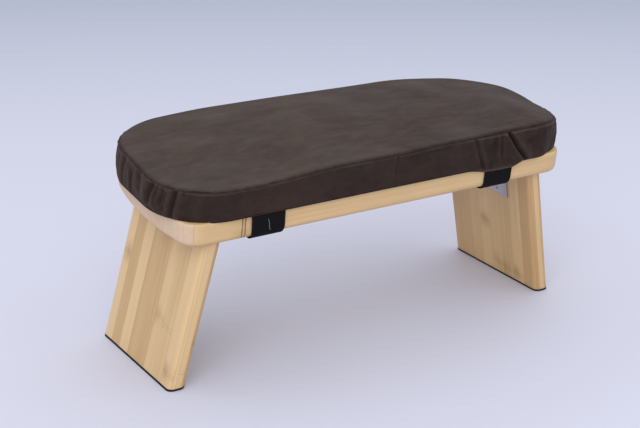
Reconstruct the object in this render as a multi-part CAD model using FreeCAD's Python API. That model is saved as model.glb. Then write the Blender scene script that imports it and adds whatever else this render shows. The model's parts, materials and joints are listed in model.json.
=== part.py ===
import FreeCAD, Part
import math
import os

from FreeCAD import Placement, Rotation, Vector

# A folding meditation bench: a padded board on two splayed legs that fold flat under it.
# Sizes are in millimetres. The pieces are drawn in the board's own frame, where the underside
# is z = 0, x runs along the board and the low front side is -y. They are then tilted and lifted
# onto their feet, with the origin on the floor under the middle of the whole bench.

# Seat board
board_length = 442.0
board_depth = 160.0
board_thickness = 23.0
board_end_bow = 10.0
board_corner_radius = 20.0
board_edge_radius = 6.0
board_top_chamfer = 2.0
seat_height = 151.8
seat_slope_deg = 6.0

# Legs and the pads under them
leg_spacing = 350.0
leg_width = 146.0
leg_thickness = 17.0
leg_edge_radius = 6.0
leg_splay_deg = 13.4
stop_gap = 0.1
foot_pad_thickness = 1.8
foot_pad_proud = 0.3

# Hinges: two leaves, rolled knuckles and a headed pin
leaf_length = 73.0
leaf_width = 41.0
leaf_thickness = 2.0
leaf_corner_radius = 2.0
knuckle_count = 5
knuckle_end_gap = 0.25
barrel_wood_gap = 0.3
leaf_barrel_gap = 0.6
roll_seam_deg = 25.0
pin_radius = 2.0
pin_clearance = 0.05
pin_head_radius = 3.3
pin_head_height = 1.0
pin_end_play = 0.1

# Countersunk wood screws
screw_head_radius = 3.9
screw_shank_radius = 1.9
screw_length = 15.0
screw_tip_length = 4.0
screw_tip_radius = 0.3
screw_clearance = 0.05
screw_sides = 16
screw_end_margin = 16.0
screw_edge_margin = 6.5
screw_row_spacing = 15.0

# Cushion: a foam core in a boxed cover
cushion_length = 455.0
cushion_depth = 167.0
cushion_height = 38.0
cushion_corner_radius = 57.0
cover_thickness = 1.5
cover_edge_chamfer = 1.0
foam_clearance = 0.3

# Straps sewn to the cover, held under the board by hook tape
strap_width = 34.0
strap_thickness = 1.4
strap_spacing = 260.6
strap_shift = -3.5
strap_leaf_gap = 4.0
strap_gap = 0.3
strap_bend_allowance = 1.0
hook_tape_thickness = 1.2
hook_tape_inset = 1.0

# Values that follow from the sizes above
splay = math.radians(leg_splay_deg)
knuckle_radius = pin_radius + pin_clearance + leaf_thickness
axis_depth = knuckle_radius + barrel_wood_gap
axis_x = leg_spacing / 2 - axis_depth * (1 - math.sin(splay)) / math.cos(splay)
cushion_top = board_thickness + cushion_height
fold_angle_deg = 90.0 + leg_splay_deg
strap_end = leaf_length / 2 + strap_leaf_gap
reach = 2 * (board_length + seat_height)
match = 0.01

X_AXIS = Vector(1, 0, 0)
Y_AXIS = Vector(0, 1, 0)
Z_AXIS = Vector(0, 0, 1)
SIDES = {"right": 0.0, "left": 180.0}


def rounded_outline(length, depth, radius, z):
    """A closed wire: a rectangle with round corners, centred on the origin at height z."""
    a = length / 2
    b = depth / 2
    k = radius * (1 - math.sqrt(0.5))
    edges = []
    for turn in range(4):
        half, side = (a, b) if turn % 2 == 0 else (b, a)
        corner = [
            Vector(half, side - radius, z),
            Vector(half - k, side - k, z),
            Vector(half - radius, side, z),
        ]
        start = Vector(half, -side + radius, z)
        spin = Rotation(Z_AXIS, 90.0 * turn)
        edges.append(Part.makeLine(spin.multVec(start), spin.multVec(corner[0])))
        edges.append(Part.Arc(*[spin.multVec(p) for p in corner]).toShape())
    return Part.Wire(edges)


def rounded_plate(length, depth, radius, z, height):
    """A flat plate with round corners, standing on height z."""
    face = Part.Face(rounded_outline(length, depth, radius, z))
    return face.extrude(Vector(0, 0, height))


def bowed_plate(length, depth, bow, radius, z, height):
    """A flat plate whose two ends bow outwards, with round corners, standing on height z."""
    a = length / 2
    b = depth / 2
    front = [Vector(bow - a, -b, z), Vector(a - bow, -b, z)]
    back = [Vector(a - bow, b, z), Vector(bow - a, b, z)]
    outline = Part.Wire([
        Part.makeLine(front[0], front[1]),
        Part.Arc(front[1], Vector(a, 0, z), back[0]).toShape(),
        Part.makeLine(back[0], back[1]),
        Part.Arc(back[1], Vector(-a, 0, z), front[0]).toShape(),
    ])
    plate = Part.Face(outline).extrude(Vector(0, 0, height))
    upright = [e for e in plate.Edges if e.BoundBox.ZLength > match]
    return plate.makeFillet(radius, upright)


def edges_at(shape, z):
    """The shape's edges that lie flat at height z."""
    return [e for e in shape.Edges if abs(e.BoundBox.ZMin - z) < match and abs(e.BoundBox.ZMax - z) < match]


def half_space(point, direction):
    """A large block that fills the side of a plane that the direction points to."""
    block = Part.makeBox(2 * reach, 2 * reach, reach, Vector(-reach, -reach, 0))
    block.Placement = Placement(point, Rotation(Z_AXIS, direction))
    return block


def hinge_side(shape, side):
    """Turn a piece drawn for the right end to its own end of the board."""
    turned = shape.copy()
    turned.rotate(Vector(0, 0, 0), Z_AXIS, SIDES[side])
    return turned


def on_board(shape):
    """Place a piece drawn as a hinge leaf with its mounting face against the board's underside."""
    placed = shape.copy()
    placed.Placement = Placement(Vector(axis_x, 0, -axis_depth), Rotation(Z_AXIS, 180.0))
    return placed


def on_leg(shape):
    """Place a piece drawn as a hinge leaf with its mounting face against the leg's inner face."""
    placed = shape.copy()
    placed.Placement = Placement(Vector(axis_x, 0, -axis_depth), Rotation(Y_AXIS, 90.0 - leg_splay_deg))
    return placed


def screw_places():
    """Screw centres on a leaf, measured from the pin's axis and from the leaf's middle."""
    along = leaf_length / 2 - screw_end_margin
    far_row = leaf_width - screw_edge_margin
    near_row = far_row - screw_row_spacing
    return [(far_row, -along), (near_row, 0.0), (far_row, along)]


def turned_bar(x, y, stations):
    """A many-sided turned bar about an axis along z, from its heights and radii, end to end."""
    rings = []
    for z, radius in stations:
        angles = [2 * math.pi * side / screw_sides for side in range(screw_sides)]
        rings.append([Vector(x + radius * math.cos(a), y + radius * math.sin(a), z) for a in angles])
    faces = [Part.Face(Part.makePolygon(ring + ring[:1])) for ring in (rings[0], rings[-1])]
    for low, high in zip(rings, rings[1:]):
        for side in range(screw_sides):
            corners = [low[side - 1], low[side], high[side], high[side - 1], low[side - 1]]
            faces.append(Part.Face(Part.makePolygon(corners)))
    return Part.makeSolid(Part.makeShell(faces))


def leaf_screws(grow=0.0):
    """One leaf's countersunk screws, heads in the leaf and tips in the wood, grown all over by grow."""
    head = axis_depth - leaf_thickness + screw_clearance
    end = head + screw_length
    stations = [
        (head - grow, screw_head_radius + grow),
        (axis_depth, screw_shank_radius + grow),
        (end - screw_tip_length, screw_shank_radius + grow),
        (end + grow, screw_tip_radius + grow),
    ]
    return Part.makeCompound([turned_bar(x, y, stations) for x, y in screw_places()])


def screw_holes():
    """The holes that one leaf's screws fill, in the leaf and in the wood behind it."""
    return leaf_screws(screw_clearance)


def rolled_knuckle(y_start, y_end):
    """One knuckle: the leaf's sheet rolled round the pin, with the seam left open."""
    seam = math.radians(roll_seam_deg)
    inner = pin_radius + pin_clearance
    outer = knuckle_radius
    plate_x = outer + leaf_barrel_gap

    def at(x, z):
        return Vector(x, y_start, z)

    def on_circle(radius, angle):
        return at(radius * math.cos(angle), radius * math.sin(angle))

    back = math.radians(90.0 + (270.0 + roll_seam_deg) / 2)
    edges = [
        Part.makeLine(at(plate_x, axis_depth), at(0, outer)),
        Part.Arc(at(0, outer), on_circle(outer, back), on_circle(outer, seam)).toShape(),
        Part.makeLine(on_circle(outer, seam), on_circle(inner, seam)),
        Part.Arc(on_circle(inner, seam), on_circle(inner, back), at(0, inner)).toShape(),
        Part.makeLine(at(0, inner), at(plate_x, axis_depth - leaf_thickness)),
        Part.makeLine(at(plate_x, axis_depth - leaf_thickness), at(plate_x, axis_depth)),
    ]
    return Part.Face(Part.Wire(edges)).extrude(Vector(0, y_end - y_start, 0))


def hinge_leaf(first_knuckle):
    """A leaf with every second knuckle, drawn with the pin on the Y axis and the wood at +z."""
    start = knuckle_radius + leaf_barrel_gap
    width = leaf_width - start
    inner = axis_depth - leaf_thickness
    plate = Part.makeBox(width, leaf_length, leaf_thickness, Vector(start, -leaf_length / 2, inner))
    far_corners = [e for e in plate.Edges
                   if abs(e.BoundBox.XMin - leaf_width) < match and e.BoundBox.ZLength > match]
    plate = plate.makeFillet(leaf_corner_radius, far_corners)
    pitch = leaf_length / knuckle_count
    knuckles = []
    for number in range(first_knuckle, knuckle_count, 2):
        low = -leaf_length / 2 + number * pitch
        high = low + pitch
        low_gap = knuckle_end_gap / 2 if number > 0 else 0.0
        high_gap = knuckle_end_gap / 2 if number < knuckle_count - 1 else 0.0
        knuckles.append(rolled_knuckle(low + low_gap, high - high_gap))
    return plate.fuse(knuckles).removeSplitter().cut(screw_holes())


def hinge_pin():
    """The pin, with a low head peened over at each end."""
    half = leaf_length / 2 + pin_end_play
    pin = Part.makeCylinder(pin_radius, 2 * half, Vector(0, -half, 0), Y_AXIS)
    heads = [Part.makeCylinder(pin_head_radius, pin_head_height, Vector(0, end * half, 0), Y_AXIS * end)
             for end in (-1, 1)]
    return pin.fuse(heads).removeSplitter()


def seat_board():
    """The board: bowed ends, round corners, a rolled lower edge, an eased upper one and screw holes."""
    board = bowed_plate(
        board_length, board_depth, board_end_bow, board_corner_radius, 0, board_thickness)
    board = board.makeFillet(board_edge_radius, edges_at(board, 0))
    board = board.makeChamfer(board_top_chamfer, edges_at(board, board_thickness))
    for side in SIDES:
        board = board.cut(hinge_side(on_board(screw_holes()), side))
    return board


def leg_stock(proud):
    """The right leg as an overlong bar, grown by proud on its four long sides."""
    length = 2 * seat_height
    outline = rounded_outline(
        leg_thickness + 2 * proud, leg_width + 2 * proud, leg_edge_radius + proud, length / 2)
    bar = Part.Face(outline).extrude(Vector(0, 0, -2 * length))
    bar.translate(Vector(leg_thickness / 2, 0, 0))
    bar.Placement = Placement(Vector(leg_spacing / 2, 0, 0), Rotation(Y_AXIS, -leg_splay_deg)).multiply(
        bar.Placement)
    return bar.cut(half_space(Vector(0, 0, -stop_gap), Z_AXIS))


def leg(side):
    """A leg: its top is bevelled to stop against the board, its foot is cut level with the floor."""
    bar = leg_stock(0.0).cut(on_leg(screw_holes()))
    standing = stand_up(hinge_side(bar, side))
    return standing.cut(half_space(Vector(0, 0, foot_pad_thickness), -Z_AXIS))


def foot_pad(side):
    """The thin pad glued under a leg, a little larger than the leg's foot."""
    standing = stand_up(hinge_side(leg_stock(foot_pad_proud), side))
    slab = Part.makeBox(2 * reach, 2 * reach, foot_pad_thickness, Vector(-reach, -reach, 0))
    return standing.common(slab)


def cushion_panel(z):
    """A flat panel of the cover, the cushion's full outline."""
    return rounded_plate(cushion_length, cushion_depth, cushion_corner_radius, z, cover_thickness)


def cushion_cover_base():
    """The cover's bottom panel, lying on the board."""
    return cushion_panel(board_thickness)


def cushion_cover_top():
    """The cover's top panel, with its rim eased."""
    panel = cushion_panel(cushion_top - cover_thickness)
    return panel.makeChamfer(cover_edge_chamfer, edges_at(panel, cushion_top))


def cushion_inner_plate(inset):
    """The space between the cover's panels, set in from the cushion's outline."""
    return rounded_plate(
        cushion_length - 2 * inset,
        cushion_depth - 2 * inset,
        cushion_corner_radius - inset,
        board_thickness + cover_thickness,
        cushion_height - 2 * cover_thickness)


def cushion_cover_boxing():
    """The cover's side wall, a closed band between the two panels."""
    return cushion_inner_plate(0.0).cut(cushion_inner_plate(cover_thickness))


def cushion_foam():
    """The foam core, filling the cover."""
    return cushion_inner_plate(cover_thickness + foam_clearance)


def strap(x, end):
    """A strap: down from the cover's hem, round the board's lower edge and back under it."""
    edge = board_depth / 2 + strap_gap
    bend = board_edge_radius + strap_bend_allowance
    centre_u = edge - bend
    centre_z = bend - hook_tape_thickness
    diagonal = math.sqrt(0.5)

    def at(u, z):
        return Vector(x - strap_width / 2, end * u, z)

    def bend_points(radius):
        return [
            at(centre_u + radius, centre_z),
            at(centre_u + radius * diagonal, centre_z - radius * diagonal),
            at(centre_u, centre_z - radius),
        ]

    inner = bend_points(bend)
    outer = bend_points(bend + strap_thickness)
    under = -hook_tape_thickness
    edges = [
        Part.makeLine(at(edge, board_thickness), inner[0]),
        Part.Arc(*inner).toShape(),
        Part.makeLine(inner[2], at(strap_end, under)),
        Part.makeLine(at(strap_end, under), at(strap_end, under - strap_thickness)),
        Part.makeLine(at(strap_end, under - strap_thickness), outer[2]),
        Part.Arc(*reversed(outer)).toShape(),
        Part.makeLine(outer[0], at(edge + strap_thickness, board_thickness)),
        Part.makeLine(at(edge + strap_thickness, board_thickness), at(edge, board_thickness)),
    ]
    return Part.Face(Part.Wire(edges)).extrude(Vector(strap_width, 0, 0))


def hook_tape(x, end):
    """The hook tape stuck to the underside, which holds a strap's end."""
    outer_u = board_depth / 2 - board_edge_radius - hook_tape_inset
    width = strap_width - 2 * hook_tape_inset
    low_y = min(end * strap_end, end * outer_u)
    corner = Vector(x - width / 2, low_y, -hook_tape_thickness)
    return Part.makeBox(width, outer_u - strap_end, hook_tape_thickness, corner)


def stand_up(shape):
    """Tilt the board's frame to the seat's slope and lift it to the seat's height."""
    standing = shape.copy()
    lift = Placement(Vector(0, 0, seat_height), Rotation(X_AXIS, seat_slope_deg))
    standing.Placement = lift.multiply(standing.Placement)
    return standing


def bench():
    """Every piece by name, standing on the floor."""
    pieces = {
        "seat_board": seat_board(),
        "cushion_foam": cushion_foam(),
        "cushion_cover_base": cushion_cover_base(),
        "cushion_cover_boxing": cushion_cover_boxing(),
        "cushion_cover_top": cushion_cover_top(),
    }
    for end_name, end in (("front", -1), ("back", 1)):
        for side_name, side in (("left", -1), ("right", 1)):
            x = side * strap_spacing / 2 + strap_shift
            pieces[f"{end_name}_{side_name}_strap"] = strap(x, end)
            pieces[f"{end_name}_{side_name}_hook_tape"] = hook_tape(x, end)
    for side in SIDES:
        pieces[f"{side}_hinge_board_leaf"] = hinge_side(on_board(hinge_leaf(0)), side)
        pieces[f"{side}_hinge_leg_leaf"] = hinge_side(on_leg(hinge_leaf(1)), side)
        pieces[f"{side}_hinge_pin"] = hinge_side(on_board(hinge_pin()), side)
        pieces[f"{side}_hinge_board_screws"] = hinge_side(on_board(leaf_screws()), side)
        pieces[f"{side}_hinge_leg_screws"] = hinge_side(on_leg(leaf_screws()), side)
    standing = {name: stand_up(shape) for name, shape in pieces.items()}
    for side in SIDES:
        standing[f"{side}_leg"] = leg(side)
        standing[f"{side}_foot_pad"] = foot_pad(side)
    return standing


def origin_shift(pieces):
    """The move that puts the origin on the floor under the middle of the bench."""
    box = Part.makeCompound(list(pieces.values())).optimalBoundingBox(False, False)
    return Vector(-box.Center.x, -box.Center.y, -box.ZMin)


def main():
    os.makedirs("parts", exist_ok=True)
    pieces = bench()
    shift = origin_shift(pieces)
    for name, shape in pieces.items():
        shape.translate(shift)
        shape.exportStep(f"parts/{name}.step")
    print(f"{len(pieces)} pieces, origin moved by {shift.y:.3f} mm along Y")
    print(f"each leg folds through {fold_angle_deg:.1f} degrees, to lie along the board")


if __name__ == "__main__":
    main()
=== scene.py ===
import json
import math

import bmesh
import bpy
import numpy as np
from bpy.props import FloatProperty, FloatVectorProperty, IntProperty, PointerProperty
from bpy.types import Operator, Panel, PropertyGroup
from mathutils import Matrix, Vector


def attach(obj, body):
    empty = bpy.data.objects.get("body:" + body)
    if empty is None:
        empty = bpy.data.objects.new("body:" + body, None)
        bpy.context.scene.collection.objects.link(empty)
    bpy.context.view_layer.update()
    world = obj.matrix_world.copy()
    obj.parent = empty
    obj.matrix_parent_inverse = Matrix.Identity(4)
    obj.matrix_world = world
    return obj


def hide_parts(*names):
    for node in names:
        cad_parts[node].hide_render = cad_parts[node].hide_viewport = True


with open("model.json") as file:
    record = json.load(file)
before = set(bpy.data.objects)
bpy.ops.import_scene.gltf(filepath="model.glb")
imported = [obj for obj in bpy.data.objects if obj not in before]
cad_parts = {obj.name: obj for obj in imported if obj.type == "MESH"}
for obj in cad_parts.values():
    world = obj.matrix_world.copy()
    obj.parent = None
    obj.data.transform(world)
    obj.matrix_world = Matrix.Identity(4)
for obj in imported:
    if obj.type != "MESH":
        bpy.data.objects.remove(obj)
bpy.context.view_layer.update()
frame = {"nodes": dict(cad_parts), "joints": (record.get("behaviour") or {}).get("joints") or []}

bl_info = {
    "name": "Folding Meditation Bench",
    "version": (1, 0, 0),
    "blender": (4, 5, 0),
    "location": "View3D > Sidebar > Bench",
    "description": "Dresses the packed frame of a folding meditation bench: timber, cushion, straps and hinges",
    "category": "Object",
}

MM = 0.001

PIN_DEPTH = 4.35 * MM
BOARD_LENGTH = 442 * MM
BOARD_DEPTH = 160 * MM
BOARD_THICKNESS = 23 * MM


BOARD_BOW = 10 * MM


BOARD_CORNER = 20 * MM


BOARD_EDGE = 6 * MM


BOARD_EASE = 2 * MM
LEG_SPACING = 350 * MM


LEG_WIDTH = 146 * MM
LEG_THICKNESS = 17 * MM


LEG_EDGE = 6 * MM
LEG_SPLAY = math.radians(13.4)


STOP_GAP = 0.1 * MM


PAD_THICKNESS = 1.8 * MM


PAD_PROUD = 0.3 * MM


LEAF_THICKNESS = 2 * MM


SCREW_PLACES = ((34.5 * MM, -20.5 * MM), (19.5 * MM, 0.0), (34.5 * MM, 20.5 * MM))
SIDES = {"right": 0.0, "left": math.pi}


def board_frame():
    """The board's frame in the row frame, from the right hinge pin's place and direction."""
    hinge = next(j for j in frame["joints"] if j["name"] == "right_leg_fold")
    along = Vector((1, 0, 0))
    up_slope = Vector(hinge["axis"]).normalized()
    turned = Matrix((along, up_slope, along.cross(up_slope))).transposed()
    pin = Vector(hinge["pos_m"])
    origin = pin - turned @ Vector((pin.x, 0, -PIN_DEPTH))
    return Matrix.Translation(origin) @ turned.to_4x4(), pin.x


BOARD, PIN_X = board_frame()


def end_turn(side):
    """The half turn that takes a piece drawn for the right end to its own end."""
    return Matrix.Rotation(SIDES[side], 4, "Z")


def leg_frame(side):
    """A leg's frame: x through its thickness from the inner face, y across it, z up along it."""
    drawn = Matrix.Translation((LEG_SPACING / 2, 0, 0)) @ Matrix.Rotation(-LEG_SPLAY, 4, "Y")
    return BOARD @ end_turn(side) @ drawn


def leaf_frame(side, wood):
    """A hinge leaf's frame: the pin along y, the leaf reaching out along x, the wood at +z."""
    turn = Matrix.Rotation(math.pi, 4, "Z") if wood == "board" else Matrix.Rotation(math.pi / 2 - LEG_SPLAY,
                                                                                    4, "Y")
    return BOARD @ end_turn(side) @ Matrix.Translation((PIN_X, 0, -PIN_DEPTH)) @ turn


class BENCH_PG_cushion(PropertyGroup):
    length: FloatProperty(name="Length", description="Length over the cover", default=455 * MM, unit="LENGTH")
    depth: FloatProperty(name="Depth", description="Depth over the cover", default=167 * MM, unit="LENGTH")
    corner: FloatProperty(name="Corner", description="Radius of the corners in plan", default=60 * MM,
                          unit="LENGTH")
    shift: FloatProperty(name="Shift", description="How far the cushion sits off centre", default=-0.6 * MM,
                         unit="LENGTH")
    crown: FloatProperty(name="Crown", description="Rise of the top from its seam to its middle",
                         default=2.6 * MM,
                         unit="LENGTH")
    bulge: FloatProperty(name="Bulge", description="How far the side band stands out between its seams",
                         default=2.0 * MM, unit="LENGTH")
    fabric: FloatProperty(name="Fabric", description="Thickness of the cover's cloth", default=0.9 * MM,
                          unit="LENGTH")
    pressure: FloatProperty(name="Pressure", description="Air pressure that fills the cover", default=4.0,
                            min=0.0)
    steps: IntProperty(name="Steps", description="Frames of cloth simulation", default=20, min=2)
    dark: FloatVectorProperty(name="Dark nap", description="The suede brushed down", subtype="COLOR",
                              default=(0.034, 0.0255, 0.022))
    pale: FloatVectorProperty(name="Pale nap", description="The suede brushed up", subtype="COLOR",
                              default=(0.064, 0.050, 0.043))
    # painted shade: the side band and the base take a darker, redder copy of the top's suede, for the light that the
    # vertical side and its downward nap lose
    side: FloatVectorProperty(name="Side painted shade", description="The side band, whose nap points down",
                              subtype="COLOR",
                              default=(0.60, 0.51, 0.49))


class BENCH_PG_straps(PropertyGroup):
    width: FloatProperty(name="Width", description="Width of the webbing", default=34 * MM, unit="LENGTH")
    thickness: FloatProperty(name="Thickness", description="Thickness of the webbing", default=1.3 * MM,
                             unit="LENGTH")
    spacing: FloatProperty(name="Spacing", description="Distance between the two pairs", default=260.6 * MM,
                           unit="LENGTH")
    shift: FloatProperty(name="Shift", description="How far the pairs sit off centre", default=-3.5 * MM,
                         unit="LENGTH")
    reach: FloatProperty(name="Reach", description="Where a strap ends under the board, from its middle line",
                         default=40.5 * MM, unit="LENGTH")
    colour: FloatVectorProperty(name="Webbing", description="Colour of the yarn", subtype="COLOR",
                                default=(0.0042, 0.0032, 0.0038))


class BENCH_PG_timber(PropertyGroup):
    board_strip: FloatProperty(name="Board strips",
                               description="Thickness of the strips on edge in the board",
                               default=7 * MM, unit="LENGTH")
    board_node: FloatProperty(name="Board node", description="Shifts the node lines along the board",
                              default=0.8168)
    leg_strip: FloatProperty(name="Leg strips", description="Width of the strips in a leg's face",
                             default=18 * MM, unit="LENGTH")
    leg_layer: FloatProperty(name="Leg layers", description="Thickness of the layers in a leg",
                             default=6 * MM,
                             unit="LENGTH")
    left_seed: FloatProperty(name="Left leg's strips", description="Picks the strips of the left leg",
                             default=7.0)
    right_seed: FloatProperty(name="Right leg's strips", description="Picks the strips of the right leg",
                              default=12.0)
    pale: FloatVectorProperty(name="Pale strip", description="The palest bamboo", subtype="COLOR",
                              default=(0.68, 0.475, 0.25))
    deep: FloatVectorProperty(name="Deep strip", description="The deepest bamboo", subtype="COLOR",
                              default=(0.49, 0.31, 0.13))
    joint: FloatVectorProperty(name="Node", description="The dark line where a culm was jointed",
                               subtype="COLOR",
                               default=(0.13, 0.06, 0.025))
    end: FloatVectorProperty(name="End grain", description="The strips' cut ends", subtype="COLOR",
                             default=(0.66, 0.50, 0.39))


class BENCH_PG_hardware(PropertyGroup):
    head: FloatProperty(name="Screw head", description="Radius of a screw's head", default=3.9 * MM,
                        unit="LENGTH")
    shank: FloatProperty(name="Screw shank", description="Radius of a screw's shank", default=1.9 * MM,
                         unit="LENGTH")
    length: FloatProperty(name="Screw length", description="Length of a screw", default=15 * MM,
                          unit="LENGTH")
    steel: FloatVectorProperty(name="Steel", description="Colour of the plated steel", subtype="COLOR",
                               default=(0.50, 0.48, 0.52))


class BENCH_PG_stage(PropertyGroup):
    floor: FloatVectorProperty(name="Floor", description="Colour of the floor", subtype="COLOR",
                               default=(0.585, 0.59, 0.69))
    # painted shade: the floor's colour darkens towards this far behind the bench, where less light reaches
    far: FloatVectorProperty(name="Far floor painted shade", description="Colour of the floor far behind", subtype="COLOR",
                             default=(0.42, 0.45, 0.55))
    key: FloatProperty(name="Key lamp", description="Power of the large lamp at the front left", default=38.0,
                       unit="POWER")
    top: FloatProperty(name="Top lamp", description="Power of the lamp above", default=12.0, unit="POWER")
    sky: FloatProperty(name="Surround", description="Strength of the even light all round", default=0.94)


SETTINGS = {
    "bench_cushion": BENCH_PG_cushion,
    "bench_straps": BENCH_PG_straps,
    "bench_timber": BENCH_PG_timber,
    "bench_hardware": BENCH_PG_hardware,
    "bench_stage": BENCH_PG_stage,
}


class Steps:
    """Adds nodes to one tree and links them, so that a material reads as a list of steps."""

    def __init__(self, tree):
        self.tree = tree

    def add(self, kind, **settings):
        """Adds a node of one kind and sets its properties."""
        node = self.tree.nodes.new(kind)
        for name, value in settings.items():
            setattr(node, name, value)
        return node

    def feed(self, socket, value):
        """Links a socket into an input, or sets the input to a constant."""
        if isinstance(value, bpy.types.NodeSocket):
            self.tree.links.new(value, socket)
        else:
            socket.default_value = value

    def math(self, operation, *values, clamp=False):
        """One arithmetic step on numbers."""
        node = self.add("ShaderNodeMath", operation=operation, use_clamp=clamp)
        for socket, value in zip(node.inputs, values):
            self.feed(socket, value)
        return node.outputs[0]

    def vector(self, operation, *values):
        """One arithmetic step on vectors."""
        node = self.add("ShaderNodeVectorMath", operation=operation)
        for socket, value in zip(node.inputs, values):
            self.feed(socket, value)
        return node.outputs["Vector"]

    def scaled(self, vector, factor):
        """A vector times a number."""
        node = self.add("ShaderNodeVectorMath", operation="SCALE")
        self.feed(node.inputs[0], vector)
        self.feed(node.inputs["Scale"], factor)
        return node.outputs["Vector"]

    def split(self, vector):
        """The three components of a vector."""
        node = self.add("ShaderNodeSeparateXYZ")
        self.feed(node.inputs[0], vector)
        return node.outputs

    def join(self, x, y, z):
        """A vector from three components."""
        node = self.add("ShaderNodeCombineXYZ")
        for socket, value in zip(node.inputs, (x, y, z)):
            self.feed(socket, value)
        return node.outputs[0]

    def noise(self, vector, scale=1.0, detail=2.0, roughness=0.5, distortion=0.0):
        """Smooth noise, from 0 to 1."""
        node = self.add("ShaderNodeTexNoise")
        self.feed(node.inputs["Vector"], vector)
        for name, value in (("Scale", scale), ("Detail", detail), ("Roughness", roughness),
                            ("Distortion", distortion)):
            self.feed(node.inputs[name], value)
        return node.outputs["Fac"]

    def cells(self, vector, scale, feature="F1"):
        """The distance to the points of a cellular pattern."""
        node = self.add("ShaderNodeTexVoronoi", feature=feature)
        self.feed(node.inputs["Vector"], vector)
        self.feed(node.inputs["Scale"], scale)
        return node.outputs["Distance"]

    def chance(self, vector):
        """A random value and a random colour for each cell of a vector of whole numbers."""
        node = self.add("ShaderNodeTexWhiteNoise", noise_dimensions="3D")
        self.feed(node.inputs["Vector"], vector)
        return node.outputs["Value"], node.outputs["Color"]

    def span(self, value, low, high, to_low=0.0, to_high=1.0, smooth=True):
        """Maps one range of a value to another, held at its ends."""
        node = self.add("ShaderNodeMapRange", interpolation_type="SMOOTHSTEP" if smooth else "LINEAR")
        for socket, v in zip(node.inputs, (value, low, high, to_low, to_high)):
            self.feed(socket, v)
        return node.outputs[0]

    def blend(self, factor, a, b, kind="MIX"):
        """Mixes two colours."""
        node = self.add("ShaderNodeMix", data_type="RGBA", blend_type=kind)
        self.feed(node.inputs[0], factor)
        self.feed(node.inputs[6], a)
        self.feed(node.inputs[7], b)
        return node.outputs[2]

    def use(self, group, **values):
        """Puts a shared group in place and feeds its inputs by name."""
        node = self.add("ShaderNodeGroup", node_tree=group)
        for name, value in values.items():
            self.feed(node.inputs[name.replace("_", " ")], value)
        return node.outputs

    def place(self, matrix=None, source="Object"):
        """Object coordinates, seen from a frame of the object's own."""
        coordinates = self.add("ShaderNodeTexCoord").outputs[source]
        if matrix is None:
            return coordinates
        mapping = self.add("ShaderNodeMapping", vector_type="TEXTURE")
        self.feed(mapping.inputs["Vector"], coordinates)
        if source == "Object":
            mapping.inputs["Location"].default_value = matrix.to_translation()
        mapping.inputs["Rotation"].default_value = matrix.to_euler("XYZ")
        return mapping.outputs[0]


KINDS = {"f": "NodeSocketFloat", "v": "NodeSocketVector", "c": "NodeSocketColor"}


def shader_group(name, inputs, outputs):
    """A shader group with named sockets: its tree, and the inputs by name."""
    tree = bpy.data.node_groups.new(name, "ShaderNodeTree")
    for label, kind, default in inputs:
        socket = tree.interface.new_socket(label, in_out="INPUT", socket_type=KINDS[kind])
        if default is not None:
            socket.default_value = default
    for label, kind in outputs:
        tree.interface.new_socket(label, in_out="OUTPUT", socket_type=KINDS[kind])
    steps = Steps(tree)
    given = steps.add("NodeGroupInput").outputs
    result = steps.add("NodeGroupOutput").inputs
    return tree, steps, given, result


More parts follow.
